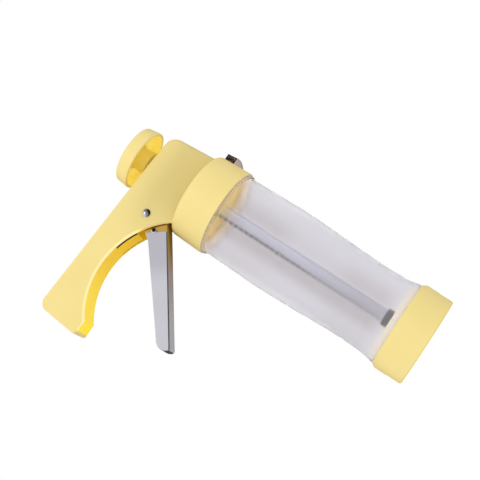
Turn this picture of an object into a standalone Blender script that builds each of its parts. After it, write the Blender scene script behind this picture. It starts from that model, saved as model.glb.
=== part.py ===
"""A trigger-driven cookie press, standing on its front cap.

Metres, +Z up along the barrel towards the pull knob, +X towards the thumb button,
the handle towards -X. The origin is on the barrel's axis at the cap's end face.
"""

import math

import bmesh
import bpy
from mathutils import Matrix, Vector

# Shared fits
CLEARANCE = 0.0003
OVERRUN = 0.004
WELD_DISTANCE = 0.000005
ROUND_STEPS = 48
ROD_STEPS = 24
SMALL_STEPS = 20
COIL_STEPS = 10

# Front cap
CAP_RADIUS = 0.0300
CAP_HEIGHT = 0.0217
CAP_WALL = 0.0029
CAP_LIP = 0.0020
CAP_RING_WIDTH = 0.0080
CAP_REAR_CHAMFER_HEIGHT = 0.0031
CAP_REAR_LAND = 0.0012
CAP_FRONT_ROUND = 0.0015

# Pattern disc
DISC_THICKNESS = 0.0015
PETAL_COUNT = 6
PETAL_RING_RADIUS = 0.0085
PETAL_LENGTH = 0.0080
PETAL_WIDTH = 0.0034
PETAL_STEPS = 12
DISC_EYE_RADIUS = 0.0026

# Barrel tube: the outer wall is a little barrelled behind and waisted in front
TUBE_SPIGOT_WALL = 0.0023
TUBE_WALL = 0.0033
TUBE_WALL_SHARES = ((0.00, 0.996), (0.14, 1.010), (0.31, 1.024), (0.42, 1.014), (0.54, 0.993),
                    (0.64, 0.968), (0.79, 0.944), (0.86, 0.946), (0.94, 0.962), (1.00, 1.014))
TUBE_WALL_STEPS = 22
TUBE_LIP_WIDTH = 0.0012
TUBE_LIP_HEIGHT = 0.0018
BARREL_LENGTH = 0.1278

# Collar: the socket of the housing that the tube's rear end screws into
COLLAR_WALL = 0.0028
COLLAR_TAPER = 0.0008
COLLAR_HEIGHT = 0.0240
COLLAR_ROUND = 0.0032
COLLAR_SOCKET_DEPTH = 0.0060
TUBE_TAIL_WALL = 0.0024
BULKHEAD = 0.0030

# Housing: a flat-sided block whose handle is cut by the finger arc
BODY_HALF_WIDTH = 0.0130
BODY_WALL = 0.0018
BODY_TOP_EDGE_ROUND = 0.0030
BODY_EDGE_ROUND_SHARE = 0.5
BODY_BACK = 0.0573
BODY_TOP_INSET = 0.0050
BODY_TOP_SLANT = 0.0030
BODY_TOP_ROUND = 0.0085
HANDLE_LENGTH = 0.0876
HANDLE_BACK_RISE = 0.0062
HEEL_ROUND = 0.0060
HEEL_DRAFT = 0.0024
TOE_ROUND = 0.0022
TOE_DEPTH = 0.0306
FINGER_ARC_RADIUS = 0.0575
FINGER_ARC_OFFSET = 0.0410
FINGER_ARC_CREST = 0.0454
FINGER_ARC_STEPS = 24
SLOT_LENGTH = 0.0285
SLOT_RAMP = 0.0145
CORE_OFFSET = 0.0130
CORE_HALF_WIDTH = 0.0082
CHAMBER_FRONT_INSET = 0.0110
CHAMBER_RELIEF = 0.0004
BACK_WALL = 0.0024

# Trigger lever: a pressed channel, open towards the handle
LEVER_HALF_WIDTH = 0.0102
LEVER_SHEET = 0.0010
LEVER_BEND = 0.0008
LEVER_FRONT_ANGLE = math.radians(36.6)
LEVER_FRONT_OFFSET = 0.0128
LEVER_ROOT_REACH = 0.0020
LEVER_ROOT_CHAMFER = 0.0016
LEVER_NECK_REACH = 0.0169
LEVER_NECK_DEPTH = 0.0126
LEVER_TIP_REACH = 0.0876
LEVER_TIP_DEPTH = 0.0082
LEVER_TIP_FRONT_ROUND = 0.0018
LEVER_TIP_BACK_ROUND = 0.0064
LEVER_NECK_ROUND = 0.0012
EAR_RADIUS = 0.0064
STOP_RIB_HALF_WIDTH = 0.0025
PIVOT_INSET = 0.0005
PIVOT_ABOVE_COLLAR = 0.0164
TRIGGER_TRAVEL = math.radians(33.0)

# Pins, sleeve and springs of the trigger
PIVOT_SHANK_RADIUS = 0.0015
PIVOT_HEAD_RADIUS = 0.0027
PIVOT_HEAD_HEIGHT = 0.0013
SLEEVE_RADIUS = 0.0030
CROSS_PIN_X = -0.0062
CROSS_PIN_Z = -0.0098
CROSS_PIN_RADIUS = 0.0012
CROSS_HEAD_RADIUS = 0.0021
CROSS_HEAD_HEIGHT = 0.0007
RETURN_SPRING_WIRE = 0.0010
RETURN_SPRING_TURNS = 5
RETURN_SPRING_PITCH = 0.0014
RETURN_LEG_X = -0.0074

# Drive pawl
PAWL_PIN_OFF_ROD = 0.00496
PAWL_PIN_RADIUS = 0.0012
PAWL_BOSS_RADIUS = 0.0030
PAWL_TUBE_RADIUS = 0.0025
PAWL_NOSE_LENGTH = 0.0080
PAWL_NOSE_HEIGHT = 0.0024
PAWL_NOSE_WIDTH = 0.0030
PAWL_HALF_WIDTH = 0.0024
PAWL_EAR_RADIUS = 0.0034
PAWL_SPRING_WIRE = 0.0006
PAWL_SPRING_TURNS = 4
PAWL_SPRING_PITCH = 0.0009
PAWL_SPRING_PAST_PIVOT = 0.0010
PAWL_SPRING_DROP = 0.0052

# Ratchet rod and its knob
ROD_RADIUS = 0.0045
TOOTH_PITCH = 0.00395
TOOTH_DEPTH = 0.0013
TOOTH_STEEP_SHARE = 0.25
TOOTH_LAND_SHARE = 0.30
TOOTH_COUNT = 43
TEETH_ABOVE_NUT = 0.0034
STUD_RADIUS = 0.0029
KNOB_RADIUS = 0.0208
KNOB_REAR_RADIUS = 0.0196
KNOB_HEIGHT = 0.0092
KNOB_ROUND = 0.0014
KNOB_RIM_WALL = 0.0024
KNOB_TOP_WALL = 0.0036
KNOB_STANDOFF = 0.0075
HUB_RADIUS = 0.0084
HUB_ROOT_RADIUS = 0.0076
HUB_GAP = 0.0017
SCREW_SHANK_RADIUS = 0.0019
SCREW_HEAD_RADIUS = 0.0042
SCREW_HEAD_HEIGHT = 0.0022
SCREW_LENGTH = 0.0130
SCREW_SLOT_WIDTH = 0.0010
SCREW_SLOT_DEPTH = 0.0009
KNOB_SCREW_FLOOR = 0.0032

# Piston and its fasteners, at the front of the stroke
NUT_ACROSS_FLATS = 0.0100
NUT_THICKNESS = 0.0050
STUD_END_HEIGHT = 0.0058
WASHER_RADIUS = 0.0070
WASHER_THICKNESS = 0.0010
PISTON_GAP = 0.0003
PISTON_FLOOR = 0.0030
PISTON_HUB_RADIUS = 0.0080
PISTON_WALL = 0.0020
PISTON_HEIGHT = 0.0130
PISTON_HUB_HEIGHT = 0.0122
PISTON_ROUND = 0.0015

# Release: thumb button, catch plate and spring
BUTTON_PROUD = 0.0039
BUTTON_REAR_DROP = 0.0007
BUTTON_FRONT_ABOVE_COLLAR_FRONT = 0.0090
BUTTON_LENGTH = 0.0121
BUTTON_HALF_WIDTH = 0.0042
BUTTON_SINK = 0.0012
BUTTON_DOME_LENGTH = 0.0054
BUTTON_DOME_STEPS = 6
BUTTON_NOSE_HEIGHT = 0.0005
SERRATION_COUNT = 5
SERRATION_DEPTH = 0.0005
CATCH_THICKNESS = 0.0015
CATCH_ABOVE_FLOOR = 0.0044
CATCH_HALF_WIDTH = 0.0075
CATCH_STEM_HALF_WIDTH = 0.0036
CATCH_FOOT = 0.0095
CATCH_SHOULDER = 0.0110
CATCH_TRAVEL = 0.0030
CATCH_STEM_IN_BUTTON = 0.0024
CATCH_SPRING_RADIUS = 0.0024
CATCH_SPRING_WIRE = 0.0006
CATCH_SPRING_TURNS = 4

# Widths worked out from the cap, outwards along the barrel
SPIGOT_RADIUS = CAP_RADIUS - CAP_WALL - CLEARANCE
TUBE_BORE_RADIUS = SPIGOT_RADIUS - TUBE_SPIGOT_WALL
TUBE_REAR_RADIUS = TUBE_BORE_RADIUS + TUBE_WALL
TUBE_LIP_RADIUS = TUBE_REAR_RADIUS + TUBE_LIP_WIDTH
SOCKET_RADIUS = TUBE_BORE_RADIUS + TUBE_TAIL_WALL + CLEARANCE
COLLAR_RADIUS = SOCKET_RADIUS + COLLAR_WALL
COLLAR_REAR_RADIUS = COLLAR_RADIUS - COLLAR_TAPER
BODY_TOP_FRONT = COLLAR_RADIUS - BODY_TOP_INSET
BODY_TOP_REAR = BODY_TOP_FRONT - BODY_TOP_SLANT
BUTTON_TOP = COLLAR_RADIUS + BUTTON_PROUD
PIVOT_X = PIVOT_INSET - COLLAR_RADIUS
CHAMBER_FRONT_X = CHAMBER_FRONT_INSET - COLLAR_RADIUS
CORE_END_X = -COLLAR_RADIUS - CORE_OFFSET
SLOT_END_X = -COLLAR_RADIUS - SLOT_LENGTH
FINGER_ARC_X = -COLLAR_RADIUS - FINGER_ARC_OFFSET
HANDLE_REACH = COLLAR_RADIUS + HANDLE_LENGTH
PAWL_ARM = (-PIVOT_X - ROD_RADIUS - PAWL_PIN_OFF_ROD) / math.cos(TRIGGER_TRAVEL / 2)

# Heights along the barrel, worked out from the pieces
DISC_Z = CAP_LIP + CLEARANCE
TUBE_FRONT_Z = DISC_Z + DISC_THICKNESS + CLEARANCE
TUBE_FLARE_Z = CAP_HEIGHT + CLEARANCE
COLLAR_FRONT_Z = CAP_HEIGHT + BARREL_LENGTH
COLLAR_BACK_Z = COLLAR_FRONT_Z + COLLAR_HEIGHT
SOCKET_Z = COLLAR_FRONT_Z + COLLAR_SOCKET_DEPTH
CHAMBER_Z = SOCKET_Z + BULKHEAD
BODY_BACK_Z = COLLAR_FRONT_Z + BODY_BACK
PIVOT_Z = COLLAR_BACK_Z + PIVOT_ABOVE_COLLAR
FINGER_ARC_Z = COLLAR_FRONT_Z + FINGER_ARC_CREST - FINGER_ARC_RADIUS
CHAMBER_HALF_WIDTH = BODY_HALF_WIDTH - BODY_WALL
ORIGIN = (0.0, 0.0)
STUD_FOOT_NUT_Z = STUD_END_HEIGHT + CLEARANCE
WASHER_Z = STUD_FOOT_NUT_Z + NUT_THICKNESS + CLEARANCE
PISTON_Z = WASHER_Z + WASHER_THICKNESS + CLEARANCE
TOP_NUT_Z = PISTON_Z + PISTON_HUB_HEIGHT + CLEARANCE
ROD_Z = TOP_NUT_Z + NUT_THICKNESS + CLEARANCE
BACK_SLOPE = HANDLE_BACK_RISE / (HANDLE_REACH + BODY_TOP_REAR)
KNOB_Z = BODY_BACK_Z + BODY_TOP_REAR * BACK_SLOPE + KNOB_STANDOFF
CATCH_Z = CHAMBER_Z + CATCH_ABOVE_FLOOR
BUTTON_Z = COLLAR_FRONT_Z + BUTTON_FRONT_ABOVE_COLLAR_FRONT


def reset_scene():
    """Removes every object of the open scene and returns the two collections used here."""
    for obj in list(bpy.data.objects):
        bpy.data.objects.remove(obj)
    parts = bpy.data.collections.new("cookie_press")
    cutters = bpy.data.collections.new("cutters")
    bpy.context.scene.collection.children.link(parts)
    bpy.context.scene.collection.children.link(cutters)
    cutters.hide_render = True
    return parts, cutters


PARTS, CUTTERS = reset_scene()


def finish_material(name, colour, roughness, metallic=0.0, alpha=1.0):
    material = bpy.data.materials.new(name)
    material.use_nodes = True
    shader = material.node_tree.nodes["Principled BSDF"]
    shader.inputs["Base Color"].default_value = (*colour, 1.0)
    shader.inputs["Roughness"].default_value = roughness
    shader.inputs["Metallic"].default_value = metallic
    shader.inputs["Alpha"].default_value = alpha
    return material


def yellow_plastic(name):
    return finish_material(name, (0.86, 0.72, 0.26), 0.42)


def frosted_plastic(name):
    return finish_material(name, (0.74, 0.73, 0.78), 0.55, alpha=0.55)


def polished_steel(name):
    return finish_material(name, (0.62, 0.62, 0.66), 0.16, metallic=1.0)


def plain_steel(name):
    return finish_material(name, (0.42, 0.43, 0.46), 0.34, metallic=1.0)


def spring_steel(name):
    return finish_material(name, (0.30, 0.30, 0.32), 0.30, metallic=1.0)


def add_to_parts(obj, material):
    PARTS.objects.link(obj)
    obj.data.materials.append(material(obj.name))
    return obj


def add_to_cutters(obj):
    CUTTERS.objects.link(obj)
    obj.hide_render = True
    obj.display_type = "WIRE"
    return obj


def shade(mesh, degrees=35.0):
    mesh.shade_smooth()
    mesh.set_sharp_from_angle(angle=math.radians(degrees))


def signed_area(points):
    """Positive where the points run anticlockwise in the plane of their two numbers."""
    following = points[1:] + points[:1]
    return sum(a[0] * b[1] - b[0] * a[1] for a, b in zip(points, following)) / 2


def arc(centre, radius, start, end, steps):
    """Points along an arc; the angles are in radians, from the first axis to the second."""
    angles = [start + (end - start) * i / steps for i in range(steps + 1)]
    return [(centre[0] + radius * math.cos(a), centre[1] + radius * math.sin(a)) for a in angles]


def rounded(corners, steps=5):
    """A closed outline from (x, y, radius) corners, each rounded by an arc that meets its sides."""
    points = []
    for i, (x, y, radius) in enumerate(corners):
        here = Vector((x, y))
        if not radius:
            points.append((x, y))
            continue
        back = (Vector(corners[i - 1][:2]) - here).normalized()
        ahead = (Vector(corners[(i + 1) % len(corners)][:2]) - here).normalized()
        half = back.angle(ahead) / 2
        centre = here + (back + ahead).normalized() * (radius / math.sin(half))
        first = here + back * (radius / math.tan(half)) - centre
        last = here + ahead * (radius / math.tan(half)) - centre
        start = math.atan2(first.y, first.x)
        turn = first.angle_signed(last)
        points += arc(centre, radius, start, start - turn, steps)
    return points


def profile_mesh(name, points, closed):
    mesh = bpy.data.meshes.new(name)
    edges = [(i, i + 1) for i in range(len(points) - 1)]
    if closed:
        edges.append((len(points) - 1, 0))
    mesh.from_pydata([(x, 0, z) for x, z in points], edges, [])
    return mesh


def turned(name, points, closed=True, steps=ROUND_STEPS):
    """A body of revolution about Z from (radius, height) points, outer side downwards."""
    if signed_area(points) > 0:
        points = points[::-1]
    obj = bpy.data.objects.new(name, profile_mesh(name, points, closed))
    screw = obj.modifiers.new("turn", "SCREW")
    screw.axis = "Z"
    screw.steps = steps
    screw.render_steps = steps
    screw.use_merge_vertices = True
    screw.merge_threshold = WELD_DISTANCE
    screw.use_smooth_shade = True
    return obj


def cylinder_profile(radius, low, high):
    return [(0, high), (radius, high), (radius, low), (0, low)]


def domed_profile(radius, height, low, steps=5):
    """The half outline of a shallow domed head that stands on the height low."""
    sphere = (radius ** 2 + height ** 2) / (2 * height)
    reach = math.asin(min(1.0, radius / sphere))
    centre = low + height - sphere
    angles = [reach * i / steps for i in range(steps + 1)]
    return [(sphere * math.sin(a), centre + sphere * math.cos(a)) for a in angles]


def lay_along_y(obj, x, y, z):
    """Turns a piece modelled along Z so that its top looks towards -Y, and puts its foot at x, y, z."""
    obj.rotation_euler = (math.pi / 2, 0, 0)
    obj.location = (x, y, z)
    return obj


def flat_curve(name, outlines, half_thickness):
    """A filled 2D curve with holes, extruded both ways from its plane."""
    curve = bpy.data.curves.new(name, "CURVE")
    curve.dimensions = "2D"
    curve.fill_mode = "BOTH"
    curve.extrude = half_thickness
    for outline in outlines:
        spline = curve.splines.new("POLY")
        spline.points.add(len(outline) - 1)
        spline.use_cyclic_u = True
        for point, (x, y) in zip(spline.points, outline):
            point.co = (x, y, 0, 1)
    return bpy.data.objects.new(name, curve)


def as_mesh(obj):
    """The same piece as a mesh with its caps welded on."""
    bpy.context.scene.collection.objects.link(obj)
    bpy.context.view_layer.update()
    graph = bpy.context.evaluated_depsgraph_get()
    mesh = bpy.data.meshes.new_from_object(obj.evaluated_get(graph))
    solid = bmesh.new()
    solid.from_mesh(mesh)
    bmesh.ops.remove_doubles(solid, verts=solid.verts, dist=WELD_DISTANCE)
    bmesh.ops.dissolve_limit(solid, angle_limit=math.radians(0.5), verts=solid.verts, edges=solid.edges)
    bmesh.ops.recalc_face_normals(solid, faces=solid.faces)
    solid.to_mesh(mesh)
    solid.free()
    name = obj.name
    matrix = obj.matrix_world.copy()
    bpy.data.objects.remove(obj)
    made = bpy.data.objects.new(name, mesh)
    made.matrix_world = matrix
    return made


def plate(name, outlines, half_thickness, origin, y=0.0):
    """A flat piece in an XZ plane: its outlines are (x, z) points of the part, its origin is given."""
    ox, oz = origin
    moved = [[(x - ox, z - oz) for x, z in outline] for outline in outlines]
    obj = flat_curve(name, moved, half_thickness)
    lay_along_y(obj, ox, y, oz)
    return as_mesh(obj)


def box(name, low, high):
    mesh = bpy.data.meshes.new(name)
    solid = bmesh.new()
    size = Vector(high) - Vector(low)
    middle = (Vector(high) + Vector(low)) / 2
    matrix = Matrix.Translation(middle) @ Matrix.Diagonal((*size, 1))
    bmesh.ops.create_cube(solid, size=1, matrix=matrix)
    solid.to_mesh(mesh)
    solid.free()
    return bpy.data.objects.new(name, mesh)


def boolean(target, other, operation):
    modifier = target.modifiers.new(other.name, "BOOLEAN")
    modifier.operation = operation
    modifier.object = other
    modifier.solver = "EXACT"


def cut(target, cutter):
    boolean(target, add_to_cutters(cutter), "DIFFERENCE")


def join(target, piece):
    boolean(target, add_to_cutters(piece), "UNION")


def wire(name, points, diameter):
    """One unbroken round wire through the points."""
    curve = bpy.data.curves.new(name, "CURVE")
    curve.dimensions = "3D"
    curve.bevel_depth = diameter / 2
    curve.bevel_resolution = 1
    curve.use_fill_caps = True
    spline = curve.splines.new("POLY")
    spline.points.add(len(points) - 1)
    for point, place in zip(spline.points, points):
        point.co = (*place, 1)
    return bpy.data.objects.new(name, curve)


def coil(radius, pitch, turns):
    """Points of a helix about its own third axis, centred on its length."""
    points = []
    for i in range(turns * COIL_STEPS + 1):
        angle = 2 * math.pi * i / COIL_STEPS
        along = pitch * (i / COIL_STEPS - turns / 2)
        points.append((radius * math.cos(angle), radius * math.sin(angle), along))
    return points


def finger_arc_z(x):
    """Height of the grip's finger side at x."""
    return FINGER_ARC_Z + math.sqrt(FINGER_ARC_RADIUS ** 2 - (x - FINGER_ARC_X) ** 2)


def body_back_z(x):
    """Height of the housing's sloping back at x."""
    return BODY_BACK_Z + (BODY_TOP_REAR - x) * BACK_SLOPE


def housing_outline():
    """The side view of body and handle: top, back, heel, toe, then the finger arc."""
    toe_z = body_back_z(-HANDLE_REACH) - TOE_DEPTH
    arc_end_x = FINGER_ARC_X - math.sqrt(FINGER_ARC_RADIUS ** 2 - (toe_z - FINGER_ARC_Z) ** 2)
    inner_z = COLLAR_FRONT_Z + COLLAR_HEIGHT / 2
    arc_start_x = FINGER_ARC_X + math.sqrt(FINGER_ARC_RADIUS ** 2 - (inner_z - FINGER_ARC_Z) ** 2)
    heel_x = -HANDLE_REACH + HEEL_DRAFT
    start = math.atan2(toe_z - FINGER_ARC_Z, arc_end_x - FINGER_ARC_X)
    end = math.atan2(inner_z - FINGER_ARC_Z, arc_start_x - FINGER_ARC_X)
    corners = [
        (BODY_TOP_FRONT, inner_z, 0),
        (BODY_TOP_REAR, BODY_BACK_Z, BODY_TOP_ROUND),
        (heel_x, body_back_z(heel_x), HEEL_ROUND),
        (-HANDLE_REACH, toe_z, TOE_ROUND),
    ]
    fingers = arc((FINGER_ARC_X, FINGER_ARC_Z), FINGER_ARC_RADIUS, start, end, FINGER_ARC_STEPS)
    return rounded(corners + [(*point, 0) for point in fingers])


def chamber_outline():
    """The mechanism chamber in side view, open on the finger side between collar and core."""
    top_x = BODY_TOP_REAR - BACK_WALL
    floor_z = COLLAR_BACK_Z - CHAMBER_RELIEF
    return rounded([
        (top_x, CHAMBER_Z, 0),
        (top_x, body_back_z(top_x) - BACK_WALL, BODY_TOP_ROUND - BACK_WALL),
        (CORE_END_X, body_back_z(CORE_END_X) - BACK_WALL, 0),
        (CORE_END_X, floor_z, 0),
        (CHAMBER_FRONT_X, floor_z, 0),
        (CHAMBER_FRONT_X, CHAMBER_Z, 0),
    ])


def side_slot_outline():
    """A slot that takes one side plate of the lever: it deepens from its far end to the chamber."""
    slot_z = finger_arc_z(SLOT_END_X)
    deep_x = CORE_END_X + OVERRUN
    rise = (body_back_z(CORE_END_X) - BACK_WALL - slot_z) / SLOT_RAMP
    outside_x = SLOT_END_X - OVERRUN
    return [
        (deep_x, slot_z + SLOT_RAMP * rise - OVERRUN),
        (SLOT_END_X + SLOT_RAMP - OVERRUN, slot_z + SLOT_RAMP * rise - OVERRUN),
        (outside_x, slot_z - OVERRUN * rise),
        (outside_x, COLLAR_BACK_Z),
        (deep_x, COLLAR_BACK_Z),
    ]


def collar_profile():
    front = COLLAR_FRONT_Z
    back = COLLAR_BACK_Z
    return rounded([(0, back, 0), (COLLAR_REAR_RADIUS, back, COLLAR_ROUND),
                    (COLLAR_RADIUS, front, 0), (0, front, 0)])


def body_housing():
    """One moulding: collar with its bulkhead, flat-sided body and hooked handle."""
    body = plate("body_housing", [housing_outline()], BODY_HALF_WIDTH, ORIGIN)
    round_moulded_edges(body)
    join(body, turned("collar", collar_profile(), closed=False))
    cut(body, plate("chamber", [chamber_outline()], CHAMBER_HALF_WIDTH, ORIGIN))
    slot_width = CHAMBER_HALF_WIDTH - CORE_HALF_WIDTH
    for side in (-1, 1):
        middle = side * (CHAMBER_HALF_WIDTH - slot_width / 2)
        cut(body, plate("side_slot", [side_slot_outline()], slot_width / 2, ORIGIN, middle))
    join(body, stop_rib())
    socket = cylinder_profile(SOCKET_RADIUS, COLLAR_FRONT_Z - OVERRUN, SOCKET_Z)
    cut(body, turned("tube_socket", socket, closed=False))
    rod_hole = cylinder_profile(ROD_RADIUS + 2 * CLEARANCE, SOCKET_Z - OVERRUN, BODY_BACK_Z + 2 * OVERRUN)
    cut(body, turned("rod_hole", rod_hole, closed=False, steps=ROD_STEPS))
    cut_button_recess(body)
    drill_along_y(body, (PIVOT_X, PIVOT_Z), PIVOT_SHANK_RADIUS + CLEARANCE, BODY_HALF_WIDTH)
    shade(body.data)
    return add_to_parts(body, yellow_plastic)


def stop_rib():
    """Rib across the chamber's back that the lever's arm rests against when it is let go."""
    x, z = pawl_pin_place()
    side = CHAMBER_HALF_WIDTH + BODY_WALL / 2
    low = (x - STOP_RIB_HALF_WIDTH, -side, z + PAWL_EAR_RADIUS + CLEARANCE)
    high = (x + STOP_RIB_HALF_WIDTH, side, body_back_z(x) - BACK_WALL / 2)
    return box("stop_rib", low, high)


def round_moulded_edges(body):
    """Rounds the long edges of the flat sides, more along the top than along the handle."""
    weights = body.data.attributes.new("bevel_weight_edge", "FLOAT", "EDGE")
    points = body.data.vertices
    for edge, weight in zip(body.data.edges, weights.data):
        ends = [points[i].co for i in edge.vertices]
        if abs(ends[0].z - ends[1].z) < CLEARANCE:
            on_top = all(end.x > BODY_TOP_REAR / 2 for end in ends)
            weight.value = 1.0 if on_top else BODY_EDGE_ROUND_SHARE
    rounding = body.modifiers.new("moulded_edges", "BEVEL")
    rounding.width = BODY_TOP_EDGE_ROUND
    rounding.segments = 3
    rounding.limit_method = "WEIGHT"


def cut_button_recess(body):
    """The pocket that the button sinks into, and the slit that the catch passes through."""
    side = BUTTON_HALF_WIDTH + CLEARANCE
    floor_x = BUTTON_TOP - button_depth() - CATCH_TRAVEL - CLEARANCE
    low = (floor_x, -side, BUTTON_Z - CLEARANCE)
    high = (COLLAR_RADIUS + OVERRUN, side, BUTTON_Z + BUTTON_LENGTH + CLEARANCE)
    cut(body, box("button_recess", low, high))
    slit = CATCH_STEM_HALF_WIDTH + CLEARANCE
    low = (BODY_TOP_REAR - BACK_WALL - OVERRUN, -slit, CATCH_Z - CLEARANCE)
    high = (floor_x + OVERRUN, slit, CATCH_Z + CATCH_THICKNESS + CLEARANCE)
    cut(body, box("catch_slit", low, high))


def lever_direction():
    """Unit vectors in (x, z): down along the lever's front, and from that front towards the handle."""
    along = Vector((-math.cos(LEVER_FRONT_ANGLE), -math.sin(LEVER_FRONT_ANGLE)))
    inward = Vector((-math.sin(LEVER_FRONT_ANGLE), math.cos(LEVER_FRONT_ANGLE)))
    return along, inward


def lever_point(reach, depth):
    """A point of the lever in side view: reach down its front edge, and depth behind that edge."""
    along, inward = lever_direction()
    return at_pivot(along * reach + inward * (depth - LEVER_FRONT_OFFSET))


def pawl_pin_place():
    """The pawl pin's (x, z): half the trigger's travel above the level of the pivot."""
    half = TRIGGER_TRAVEL / 2
    return (PIVOT_X + PAWL_ARM * math.cos(half), PIVOT_Z + PAWL_ARM * math.sin(half))


def at_pivot(vector):
    return (PIVOT_X + vector[0], PIVOT_Z + vector[1])


def cross_pin_place():
    return at_pivot((CROSS_PIN_X, CROSS_PIN_Z))


def ring(centre, radius, steps=SMALL_STEPS):
    return arc(centre, radius, 0, 2 * math.pi, steps)[:-1]


def lever_outline():
    """Side view of the blank: channel, neck, ear round the pivot and arm to the pawl pin."""
    half = TRIGGER_TRAVEL / 2
    ear = arc((PIVOT_X, PIVOT_Z), EAR_RADIUS, math.pi, math.pi / 2 + half, 5)
    eye = arc(pawl_pin_place(), PAWL_EAR_RADIUS, math.pi / 2 + half, half - math.pi / 2, 8)
    return rounded([
        (*lever_point(LEVER_TIP_REACH, 0), LEVER_TIP_FRONT_ROUND),
        (*lever_point(LEVER_TIP_REACH, LEVER_TIP_DEPTH), LEVER_TIP_BACK_ROUND),
        (*lever_point(LEVER_NECK_REACH, LEVER_NECK_DEPTH), LEVER_NECK_ROUND),
        *[(*point, 0) for point in ear + eye],
        (*lever_point(LEVER_ROOT_REACH - LEVER_ROOT_CHAMFER, LEVER_ROOT_CHAMFER), 0),
        (*lever_point(LEVER_ROOT_REACH, 0), 0),
    ])


def trigger_lever():
    """Sheet channel: two side plates joined by the front web, which also closes the tip."""
    lever = plate("trigger_lever", [lever_outline()], LEVER_HALF_WIDTH, (PIVOT_X, PIVOT_Z))
    bend_front_edges(lever)
    sheet = LEVER_SHEET
    beyond = LEVER_TIP_REACH + OVERRUN
    inside = rounded([
        (*lever_point(LEVER_TIP_REACH - sheet, sheet), sheet / 2),
        (*lever_point(LEVER_TIP_REACH - sheet, LEVER_TIP_DEPTH + sheet), LEVER_TIP_BACK_ROUND - sheet),
        (*lever_point(LEVER_NECK_REACH, LEVER_NECK_DEPTH + OVERRUN), 0),
        (*lever_point(-LEVER_NECK_REACH, beyond), 0),
        (*lever_point(-beyond, beyond), 0),
        (*lever_point(-beyond, -LEVER_NECK_DEPTH), 0),
        (*lever_point(LEVER_ROOT_REACH + sheet, -LEVER_NECK_DEPTH), 0),
        (*lever_point(LEVER_ROOT_REACH + sheet, sheet), 0),
    ])
    cut(lever, plate("channel_inside", [inside], LEVER_HALF_WIDTH - sheet, ORIGIN))
    holes = ((PIVOT_SHANK_RADIUS, (PIVOT_X, PIVOT_Z)), (CROSS_PIN_RADIUS, cross_pin_place()),
             (PAWL_PIN_RADIUS, pawl_pin_place()))
    for radius, place in holes:
        drill_along_y(lever, place, radius + CLEARANCE, LEVER_HALF_WIDTH)
    shade(lever.data)
    return add_to_parts(lever, polished_steel)


def bend_front_edges(lever):
    """Rounds the bends between the side plates and the web, down its length and round the tip."""
    along, inward = lever_direction()
    root = Vector(lever_point(LEVER_ROOT_REACH, 0)) - Vector((PIVOT_X, PIVOT_Z))
    to_tip = LEVER_TIP_REACH - LEVER_ROOT_REACH - LEVER_TIP_BACK_ROUND
    shape = bmesh.new()
    shape.from_mesh(lever.data)
    chosen = []
    for edge in shape.edges:
        flat = abs(edge.verts[0].co.z - edge.verts[1].co.z) < CLEARANCE
        places = [Vector(v.co[:2]) - root for v in edge.verts]
        on_web = all(place.dot(inward) < CLEARANCE and place.dot(along) > -CLEARANCE for place in places)
        at_tip = all(place.dot(along) > to_tip for place in places)
        if flat and (on_web or at_tip):
            chosen.append(edge)
    bmesh.ops.bevel(shape, geom=chosen, offset=LEVER_BEND, segments=3, profile=0.5, affect="EDGES")
    shape.to_mesh(lever.data)
    shape.free()


def drill_along_y(target, place, radius, half_length):
    """Cuts a round hole across the whole part, centred on (x, z)."""
    reach = half_length + OVERRUN
    hole = turned(target.name + "_hole", cylinder_profile(radius, -reach, reach), closed=False,
                  steps=SMALL_STEPS)
    cut(target, lay_along_y(hole, place[0], 0, place[1]))


def rivet(name, x, z, shank_radius, half_length, head_radius, head_height, material):
    """A pin across the part with a domed head at each end."""
    dome = domed_profile(head_radius, head_height, half_length)
    lower = [(radius, -height) for radius, height in reversed(dome)]
    points = dome + [(shank_radius, half_length), (shank_radius, -half_length)] + lower
    pin = turned(name, points, closed=False, steps=SMALL_STEPS)
    return add_to_parts(lay_along_y(pin, x, 0, z), material)


def pivot_rivet():
    half = BODY_HALF_WIDTH + CLEARANCE
    return rivet("pivot_rivet", PIVOT_X, PIVOT_Z, PIVOT_SHANK_RADIUS, half,
                 PIVOT_HEAD_RADIUS, PIVOT_HEAD_HEIGHT, polished_steel)


def lever_cross_pin():
    x, z = cross_pin_place()
    half = LEVER_HALF_WIDTH + CLEARANCE / 2
    return rivet("lever_cross_pin", x, z, CROSS_PIN_RADIUS, half,
                 CROSS_HEAD_RADIUS, CROSS_HEAD_HEIGHT, polished_steel)


def pawl_pin():
    x, z = pawl_pin_place()
    half = LEVER_HALF_WIDTH + CLEARANCE / 2
    return rivet("pawl_pin", x, z, PAWL_PIN_RADIUS, half,
                 CROSS_HEAD_RADIUS, CROSS_HEAD_HEIGHT, plain_steel)


def pivot_sleeve():
    """Spacer tube on the rivet: keeps the ears apart and carries the return spring."""
    half = LEVER_HALF_WIDTH - LEVER_SHEET - CLEARANCE
    inner = PIVOT_SHANK_RADIUS + CLEARANCE
    points = [(SLEEVE_RADIUS, half), (SLEEVE_RADIUS, -half), (inner, -half), (inner, half)]
    sleeve = turned("pivot_sleeve", points, steps=SMALL_STEPS)
    return add_to_parts(lay_along_y(sleeve, PIVOT_X, 0, PIVOT_Z), plain_steel)


def tangent_angle(point, radius, side):
    """Where a straight leg from a point meets a coil: side 1 or -1 picks the tangent."""
    distance = math.hypot(*point)
    return math.atan2(point[1], point[0]) + side * math.acos(radius / distance)


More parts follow.
